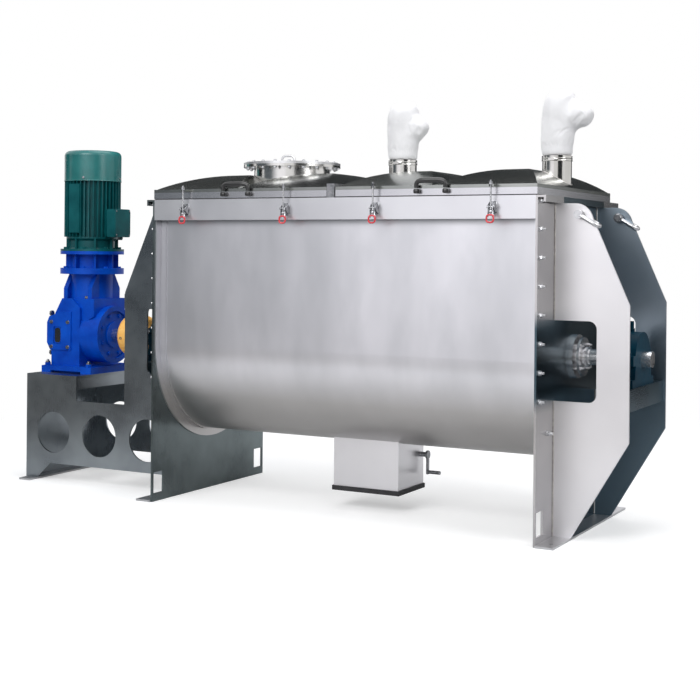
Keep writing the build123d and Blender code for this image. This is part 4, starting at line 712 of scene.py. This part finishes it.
# %% Weld beads round the pipes and along the gussets
ABOVE_ALL = 2.6  # rays on a lid start at this height
LID_FLAT = 1.93  # and a ray that misses counts as landing here
PORT_R = 0.240  # outer radius of the charging port's pipe
ABOVE_WINDOW = 1.192, 1.822  # heights between which the gussets' upper seams run
BELOW_WINDOW = 0.748  # top of their lower seams
FOOT_LEFT, FOOT_RIGHT = 0.122, 0.016  # where they start


def ripple(path, radius, pitch=0.006, share=0.12):
    """The bead's radius along a path: radius (1 + share sin(2 pi s / pitch))."""
    path = np.asarray(path)
    run = np.concatenate([[0], np.cumsum(np.linalg.norm(np.diff(path, axis=0), axis=1))])
    return radius * (1 + share * np.sin(2 * math.pi * run / pitch))


def foot_line(tree, x, r, steps):
    """The line where an upright pipe on the machine's middle plane meets the surface in tree."""
    path = []
    for a in full_turn(steps):
        probe = Vector((x + (r + 0.003) * math.cos(a), (r + 0.003) * math.sin(a), ABOVE_ALL))
        hit = tree.ray_cast(probe, Vector((0, 0, -1)))[0]
        path.append((x + r * math.cos(a), r * math.sin(a), hit.z if hit else LID_FLAT))
    return np.array(path)


def pipe_beads(name, lid, body, xs, r, steps, radius):
    """The beads round upright pipes of radius r that stand on a lid at each x."""
    mesh = nodes[lid].data
    tree = BVHTree.FromPolygons([v.co for v in mesh.vertices], [p.vertices[:] for p in mesh.polygons])
    lines = [foot_line(tree, x, r, steps) for x in xs]
    beads = [tube(line, ripple(line, radius), 8, True) for line in lines]
    finish_piece(name, beads, "weld_steel", body, angle=80)


pipe_beads("port_weld_bead", "lid_left", "left_lid", [middle_of("port_cover")[0]], PORT_R, 520, 0.0042)
pipe_beads("nozzle_weld_beads", "lid_right", "right_lid", nozzle_xs, NOZZLE_R, 260, 0.0032)


def seam(start, end, radius=0.0035):
    """A straight rippled bead."""
    path = np.linspace(start, end, max(int(np.linalg.norm(np.subtract(end, start)) / 0.002), 8))
    return tube(path, ripple(path, radius), 6)


gusset_y = abs(corners("gusset_right_front")[0][1]) - 0.006
seams = []
for end in (-1, 1):
    for side in (-1, 1):
        for face in (-1, 1):
            y = side * (gusset_y + face * 0.008)
            x = end * (plate_face + 0.002)
            for low, high in (ABOVE_WINDOW, (FOOT_LEFT if end < 0 else FOOT_RIGHT, BELOW_WINDOW)):
                seams.append(seam((x, y, low), (x, y, high)))
finish_piece("gusset_weld_seams", seams, "weld_steel", "frame", angle=80)
print("weld beads laid")

# %% [markdown]
# ## Dust bags
# A filter bag is a sewn sleeve of felt, slack when the machine stands still. Its CAD solid
# has the fallen shape. The cloth starts a little smaller, is blown up by a soft pressure
# with more cloth than the shape needs, and so gathers into the creases felt makes.

# %% Cloth that swells into its bag
VOXEL = 0.0065  # metres between the cloth's points
BRIDGE = 0.030  # the surface swells and shrinks by this to close the notch
SLACK_PASSES = 26  # rounds of smoothing before the cloth is blown up
SURPLUS = 0.055  # cloth beyond what the shape needs, as a share
STEPS = 20  # frames of the simulation
FURTHEST = 0.016  # no point of the cloth moves further than this
FURTHEST_OUT = 0.004  # or further outward than this


def apply_modifiers(piece):
    """Replace a piece's mesh by its evaluated one."""
    graph = bpy.context.evaluated_depsgraph_get()
    graph.update()
    made = bpy.data.meshes.new_from_object(piece.evaluated_get(graph))
    piece.modifiers.clear()
    piece.data = made


def blow_up(bag, free):
    """Run the cloth under a soft pressure, without gravity, pinned where it is not free."""
    pin = bag.vertex_groups.new(name="neck")
    for index, weight in enumerate(1 - free):
        if weight > 0:
            pin.add([index], float(weight), "REPLACE")
    felt = bag.modifiers.new("cloth", "CLOTH")
    for setting, value in (("quality", 6), ("mass", 0.35), ("vertex_group_mass", "neck"),
                           ("use_pressure", True), ("uniform_pressure_force", 4.0),
                           ("shrink_min", -SURPLUS), ("bending_stiffness", 0.4)):
        setattr(felt.settings, setting, value)
    felt.settings.effector_weights.gravity = 0.0
    felt.collision_settings.use_self_collision = False
    felt.point_cache.frame_start, felt.point_cache.frame_end = 1, STEPS
    for step in range(1, STEPS + 1):
        scene.frame_set(step)
    apply_modifiers(bag)
    scene.frame_set(1)


def cloth_bag(node, name):
    """A copy of the CAD solid's surface, remeshed, creased and blown up as cloth. The cloth
    bridges the notch above the fallen end: the surface swells by BRIDGE and shrinks again."""
    low, high = corners(node)
    bag = new_object(name, nodes[node].data.copy())
    outward(bag.data, 1e-5)
    dress(bag.data, "bag_cloth")
    for offset in (BRIDGE, -BRIDGE, 0.0):
        remesh = bag.modifiers.new("even_cloth", "REMESH")
        remesh.mode = "VOXEL"
        remesh.voxel_size = VOXEL
        swell = bag.modifiers.new("swell", "DISPLACE")
        swell.strength, swell.mid_level = offset, 0.0
    slack = bag.modifiers.new("slack", "SMOOTH")
    slack.factor, slack.iterations = 0.5, SLACK_PASSES
    apply_modifiers(bag)
    start = vertex_data(bag.data)
    normals = vertex_data(bag.data, "normal")
    height = (start[:, 2] - low[2]) / (high[2] - low[2])
    free = np.clip((height - 0.04) / 0.16, 0, 1)
    turn = np.arctan2(start[:, 1], start[:, 0] - low[0] - 0.09)
    crease = np.sin(3 * turn + 2.2 * height) + 0.5 * np.sin(7 * turn - 5 * height)
    crease += 0.4 * np.sin(2 * turn + 21 * height)
    inward = free * (0.002 + 0.0020 * crease)
    bag.data.vertices.foreach_set("co", (start - normals * inward[:, None]).ravel())
    blow_up(bag, free)
    end = vertex_data(bag.data)
    way = end - start
    reach = np.linalg.norm(way, axis=1)
    end = start + way * np.minimum(1, FURTHEST / np.maximum(reach, 1e-9))[:, None]
    ahead = np.einsum("ij,ij->i", end - start, normals)
    end -= normals * np.maximum(ahead - FURTHEST_OUT, 0)[:, None]
    bag.data.vertices.foreach_set("co", end.ravel())
    bag.data.update()
    bag.data.polygons.foreach_set("use_smooth", np.ones(len(bag.data.polygons), bool))
    smooth = bag.modifiers.new("soft", "SUBSURF")
    smooth.levels = smooth.render_levels = 1
    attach(bag, "right_lid")
    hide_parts(node)
    print(node, "->", name, len(end), "points, moved up to", round(float(reach.max()) * 1000, 1), "mm")


for number in (1, 2):
    cloth_bag(f"dust_bag_{number}", f"dust_bag_cloth_{number}")

# %% [markdown]
# ## The gearbox's small parts
# An oil-filled gearbox needs a filler, a drain, a level glass and a breather. The glass
# sits in a recess behind a pressed frame, the plugs are short hexagons on sealing rings.

# %% Sight glass, plugs and cover screws of the gearbox
drive_end = corners("gearbox_housing")[0][0]
shaft_z = middle_of("shaft_tube")[2]
WALL_Y = 0.198  # the gearbox's side walls stand this far from the middle
GLASS_Z = 0.9635  # height of the sight glass
FOOT_TOP = 0.776  # upper face of the gearbox's foot
glass_shapes, frame_shapes, plug_shapes = [], [], []
for side in (-1, 1):
    pane = squircle(0.0285, 0.052, (drive_end + 0.1125, GLASS_Z), 48, 4)
    near, far = sorted((side * (WALL_Y - 0.008), side * (WALL_Y - 0.005)))
    glass_shapes.append(slab(pane[:, ::-1], near, far, "Y", 0.0008))
    rim = np.stack([pane[:, 0], np.full(len(pane), side * (WALL_Y - 0.0045)), pane[:, 1]], 1)
    frame_shapes.append(tube(rim, 0.0026, 8, True))
for y in (-0.14, 0.14):
    for z in (0.84, 1.11):
        plug_shapes += bolt((drive_end + 0.0215, y, z), "X", -1, 0.030, 0.012, 0.003)
for y in (-0.12, 0.12):
    plug_shapes += bolt((drive_end + 0.31, y, 1.217), "Z", 1, 0.036, 0.014, 0.003)
finish_piece("oil_level_glass", glass_shapes, "sight_glass", "frame")
finish_piece("oil_level_frame", frame_shapes, "gearbox_blue", "frame", angle=80)
finish_piece("gearbox_plugs", plug_shapes, "dark_steel", "frame")

# %% Side cover screws and the foot's clamping bolts
screw_shapes = []
for side in (-1, 1):
    for x in (0.062, 0.205):
        for z in (0.885, 1.055):
            screw_shapes += bolt((drive_end + x, side * WALL_Y, z), "Y", side, 0.019, 0.009, 0.002)
for x in (0.040, 0.395):
    for y in (-0.206, 0.206):
        screw_shapes += bolt((drive_end + x, y, FOOT_TOP), "Z", 1, 0.030, 0.010, 0.0, 0.010)[1:]
finish_piece("gearbox_screws", screw_shapes, "dark_steel", "frame")
print("gearbox trims at", round(drive_end, 4))

# %% [markdown]
# ## The motor's small parts
# The fan cowl is a deep-drawn cap held by four screws near its lower rim. The terminal box
# has a screwed lid and a cable gland, whose nut is a hexagon.

# %% Cowl screws, cowl rim, terminal lid and gland
def aimed(shape, place, *axes):
    """A shape made at the origin, moved to place with its x, y and z along these three axes."""
    points, faces = shape
    return np.asarray(place, float) + points.reshape(-1, 3) @ np.array(axes, float), faces


cowl_low, cowl_high = corners("motor_cowl")
motor_x = (cowl_low[0] + cowl_high[0]) / 2
cowl_r = (cowl_high[0] - cowl_low[0]) / 2
cowl_bottom = cowl_low[2]
trim = lathe([(cowl_r - 0.001, cowl_bottom), (cowl_r + 0.0022, cowl_bottom + 0.0008),
              (cowl_r + 0.0026, cowl_bottom + 0.004), (cowl_r + 0.0004, cowl_bottom + 0.007),
              (cowl_r - 0.001, cowl_bottom + 0.007)], (motor_x, 0, 0), "Z", 96)
finish_piece("cowl_rolled_rim", [trim], "cowl_green", "frame", angle=60)
screw_shapes = []
for turn in range(4):
    angle = math.radians(20 + 90 * turn)
    ahead = np.array([math.cos(angle), math.sin(angle), 0])
    place = np.array([motor_x, 0, cowl_bottom + 0.022]) + ahead * (cowl_r - 0.0005)
    head = disc(0.0085, 0, 0.0055, (0, 0, 0), "Z", 20, 0.0018)
    screw_shapes.append(aimed(head, place, (-ahead[1], ahead[0], 0), (0, 0, 1), ahead))
finish_piece("cowl_screws", screw_shapes, "dark_steel", "frame")

term_low, term_high = corners("terminal_box")
term_x = term_high[0]
term_z0, term_z1 = term_low[2] + 0.020, term_high[2]
lid_outline = squircle(0.083, (term_z1 - term_z0) / 2 + 0.001, (0, (term_z0 + term_z1) / 2), 56, 12)
terminal_lid = slab(lid_outline, term_x - 0.001, term_x + 0.007, "X", 0.002)
finish_piece("terminal_box_lid", [terminal_lid], "motor_green", "frame")
term_screws = []
for y in (-0.070, 0.070):
    for z in (term_z0 + 0.014, term_z1 - 0.014):
        term_screws.append(disc(0.0058, term_x + 0.0065, term_x + 0.0105, (0, y, z), "X", 18, 0.0014))
gland = (term_x - 0.031, 0.020, 0)
term_screws.append(hexagon(0.034, term_z0 - 0.012, term_z0 - 0.001, gland))
finish_piece("terminal_screws_and_gland_nut", term_screws, "dark_steel", "frame")
print("motor axis x =", round(motor_x, 4), "cowl radius", round(cowl_r, 4))

# %% [markdown]
# ## Coupling screws and bow grips
# The coupling's element is held to its hubs by radial cap screws with a round socket. The
# black bow grips on the lids are moulded thicker where the hand closes.

# %% Coupling screws
tyre_low, tyre_high = corners("coupling_tyre")
tyre_r = (tyre_high[1] - tyre_low[1]) / 2
cap_shapes = []
for x in (tyre_low[0] + 0.050, tyre_high[0] - 0.050):
    for turn in range(6):
        angle = math.radians(5 + 60 * turn)
        ahead = np.array([0, math.cos(angle), math.sin(angle)])
        cap = lathe([(0.0042, 0.001), (0.0085, 0.001), (0.0092, 0.0018), (0.0092, 0.0052),
                     (0.0085, 0.006), (0.0046, 0.006), (0.0042, 0.0035)], (0, 0, 0), "Z", 24)
        place = np.array([x, 0, shaft_z]) + ahead * (tyre_r - 0.0035)
        cap_shapes.append(aimed(cap, place, (1, 0, 0), (0, -ahead[2], ahead[1]), ahead))
finish_piece("coupling_cap_screws", cap_shapes, "dark_steel", "agitator")


# %% Bow grips on the lids
def bow_grip(node, name, body):
    """A moulded bow: a circle carried along a bow path, swelling by a third at mid span."""
    low, high = corners(node)
    x0, x1 = low[0] + 0.014, high[0] - 0.014
    y = low[1] + 0.011
    z0, z1 = low[2], high[2] - 0.011
    share = np.linspace(0, 1, 60)
    angle = math.pi * share
    power = 0.42
    x = (x0 + x1) / 2 - (x1 - x0) / 2 * np.sign(np.cos(angle)) * np.abs(np.cos(angle)) ** power
    z = (z0 + 0.030) + (z1 - z0 - 0.030) * np.abs(np.sin(angle)) ** power
    path = np.stack([x, np.full(60, y), z], 1)
    shapes = [tube(path, 0.0125 * (1 + 0.30 * np.sin(math.pi * share) ** 6), 16)]
    for x_foot in (x0, x1):
        foot = squircle(0.0145, 0.013, (x_foot, z0 + 0.012), 32, 4)
        shapes.append(slab(foot[:, ::-1], y - 0.011, high[1], "Y", 0.003))
    finish_piece(name, shapes, "black_plastic", body, node, 50)


for side in ("left", "right"):
    bow_grip(f"lid_grip_{side}", f"bow_grip_{side}", f"{side}_lid")
print("grips moulded")

# %% [markdown]
# ## The rear shackle's pin
# A shackle's pin has a broad head on one side. On the rear shackle, the eyes and the pin's head are dark
# steel.
# The bow itself is galvanised.

# %% Black eyes and pin head of the rear shackle
EYE_R, EYE_WIDTH, NUT_DEPTH = 0.024, 0.022, 0.012  # of the shackle and its pin's nut
shackle_low, shackle_high = corners("shackle_rear")
pin_x, pin_z = shackle_low[0] + EYE_R, shackle_high[2] - EYE_R
near_face, far_face = shackle_low[1], shackle_high[1] - NUT_DEPTH
sleeve = [(EYE_R - 0.001, 0.0), (EYE_R + 0.0015, 0.0), (EYE_R + 0.003, 0.002),
          (EYE_R + 0.003, EYE_WIDTH - 0.002), (EYE_R + 0.0015, EYE_WIDTH), (EYE_R - 0.001, EYE_WIDTH)]
eye_shapes = [lathe(sleeve, (pin_x, start, pin_z), "Y", 40) for start in (near_face, far_face - EYE_WIDTH)]
eye_shapes.append(disc(EYE_R - 0.003, -0.009, 0.0005, (pin_x, near_face, pin_z), "Y", 40, 0.003))
finish_piece("rear_shackle_black_eyes", eye_shapes, "dark_steel", "rear_shackle")
print("rear shackle's pin at", round(pin_x, 4), round(pin_z, 4))

# %% [markdown]
# ## Camera, floor and light
# The photograph was taken at eye height from the front right. The camera stands where
# the straight edges of the trough say it stood. The frame is shifted down rather than
# the camera tilted, so that upright edges stay upright, as they do in the photograph.

# %% Camera
SENSOR = 36.0  # millimetres
PICTURE = 700.0  # pixels
FOCAL = 1328.77  # pixels
HORIZON = 252.28  # pixels from the top edge
camera_data = bpy.data.cameras.new("camera")
camera_data.sensor_width = SENSOR
camera_data.lens = SENSOR * FOCAL / PICTURE
camera_data.shift_y = (HORIZON - PICTURE / 2) / PICTURE
camera = new_object("camera", camera_data)
yaw, level, roll = (Matrix.Rotation(math.radians(angle), 4, axis)
                    for angle, axis in ((28.34, "Z"), (90.0, "X"), (0.51, "Z")))
camera.matrix_world = Matrix.Translation(Vector((3.7078, -7.2728, 1.550))) @ yaw @ level @ roll
scene.camera = camera
print("camera lens", round(camera_data.lens, 2), "mm")


# %% Sky: plain light for the object, white for the eye and for mirrors
def larger(tree, first, second):
    """A socket with the larger of two numbers."""
    node = tree.nodes.new("ShaderNodeMath")
    node.operation = "MAXIMUM"
    tree.links.new(first, node.inputs[0])
    tree.links.new(second, node.inputs[1])
    return node.outputs[0]


def ray_kinds(tree):
    """Sockets that are 1 for the camera's rays, and for those that mirrors and glass send."""
    path = tree.nodes.new("ShaderNodeLightPath").outputs
    return path["Is Camera Ray"], larger(tree, path["Is Glossy Ray"], path["Is Transmission Ray"])


scene.view_settings.view_transform = "Standard"
scene.world = bpy.data.worlds.new("studio")
scene.world.use_nodes = True
sky = scene.world.node_tree
mixer = sky.nodes.new("ShaderNodeMixShader")
sky.links.new(larger(sky, *ray_kinds(sky)), mixer.inputs[0])
for entry, light, colour, strength in (
        (1, sky.nodes["Background"], (0.80, 0.82, 0.85, 1), 0.55),
        (2, sky.nodes.new("ShaderNodeBackground"), (1, 1, 1, 1), 1.0)):
    light.inputs["Color"].default_value = colour
    light.inputs["Strength"].default_value = strength
    sky.links.new(light.outputs[0], mixer.inputs[entry])
sky.links.new(mixer.outputs[0], sky.nodes["World Output"].inputs["Surface"])
print("sky made")

# %% [markdown]
# ## A floor without an edge
# Near the machine the floor is matt and keeps the shadow. Further out it fades into the
# white of the sky, so no horizon is seen.

# %% Floor, cards and lamps
ground = Finish("floor_white", Roughness=0.95, Specular_IOR_Level=0.0, Emission_Strength=1.0)
far_out = ground.node("VectorMath", {"operation": "LENGTH"}, {0: ground.place}, 1)
far_out = far_out.between(2.6, 5.2)
eye_ray, mirror_ray = (Value(ground, socket) for socket in ray_kinds(ground.tree))
floor_x, floor_y = ground.along(0), ground.along(1)
in_front = ground.node("MapRange", {"interpolation_type": "SMOOTHSTEP"},
                       {0: floor_y, 1: -1.0, 2: -3.6})
behind = floor_y.between(1.2, 3.2) * floor_y.between(7.5, 5.5)
beside = floor_x.between(-3.4, -4.8) * floor_y.between(-1.6, -0.8)
eye_glow = ground.mix(far_out, (0.40, 0.40, 0.40), (1.0, 1.0, 1.0))
mirror_glow = ground.mix(in_front, (0.0, 0.0, 0.0), (0.28, 0.265, 0.25))
mirror_glow = ground.mix(behind + beside, mirror_glow, (0.42, 0.42, 0.43))
glow = ground.mix(eye_ray, ground.mix(mirror_ray, (0, 0, 0), mirror_glow), eye_glow)
ground.feed(Base_Color=ground.mix(far_out, (0.72, 0.72, 0.72), (0, 0, 0)), Emission_Color=glow)


def card(name, points, finish, in_view=False):
    """A flat stage surface through four points. Out of view, only mirrors see it."""
    mesh = bpy.data.meshes.new(name)
    mesh.from_pydata(points, [], [(0, 1, 2, 3)])
    dress(mesh, finish)
    item = new_object(name, mesh)
    item.visible_camera = item.visible_shadow = item.visible_diffuse = in_view


card("floor", [(-14, -14, 0), (14, -14, 0), (14, 18, 0), (-14, 18, 0)], "floor_white", True)
Finish("dark_paper", Roughness=1.0, Specular_IOR_Level=0.0, Base_Color=(0.030, 0.034, 0.036, 1))
graded = Finish("graded_reflector", Roughness=1.0, Specular_IOR_Level=0.0, Emission_Strength=1.0,
                Base_Color=(0, 0, 0, 1))
toward_right = graded.along(0).between(-4.25, -1.9)
low_down = graded.along(2).between(1.3, 0.0)
level = graded.mix(toward_right, (0.115, 0.135, 0.150), (1.22, 1.21, 1.25))
graded.feed(Emission_Color=graded.mix(0.45 * low_down, level, (0.36, 0.335, 0.31)))
for name, (x0, y0), (x1, y1), low, high, lean, paper in (
        ("card_behind", (-9, 5.0), (3.5, 5.0), 0.6, 11.0, 1.0, "dark_paper"),
        ("card_right_front", (4.6, -7.0), (7.2, -3.2), 1.2, 4.2, 0.0, "dark_paper"),
        ("card_low_behind", (-9, 4.6), (1.3, 4.6), 0.0, 2.2, 0.0, "graded_reflector"),
        ("card_far_left", (-8.5, 1.5), (-9.5, -3.0), 1.4, 4.2, 0.0, "dark_paper"),
        ("card_front_left", (-9.5, -4.6), (0.6, -6.3), 0.0, 3.6, 0.0, "graded_reflector")):
    card(name, [(x0, y0, low), (x1, y1, low), (x1, y1 + lean, high), (x0, y0 + lean, high)], paper)


def lamp(name, place, aim, size, power):
    """A square area lamp at place that looks at aim."""
    data = bpy.data.lights.new(name, "AREA")
    data.size = size
    data.energy = power
    item = new_object(name, data)
    look = (Vector(aim) - Vector(place)).to_track_quat("-Z", "Y").to_matrix().to_4x4()
    item.matrix_world = Matrix.Translation(Vector(place)) @ look
    return item


lamp("front_softbox", (-1.0, -7.0, 5.5), (0, 0, 1.0), 5.0, 380)
lamp("right_softbox", (7.0, -2.0, 4.5), (0.5, 0, 1.0), 3.5, 190)
lamp("top_softbox", (0, 0.5, 7.0), (0, 0, 1.0), 5.0, 180)
lamp("rear_softbox", (-1.0, 7.0, 4.5), (-0.5, 0, 1.0), 4.0, 150).visible_glossy = False
print("stage ready")
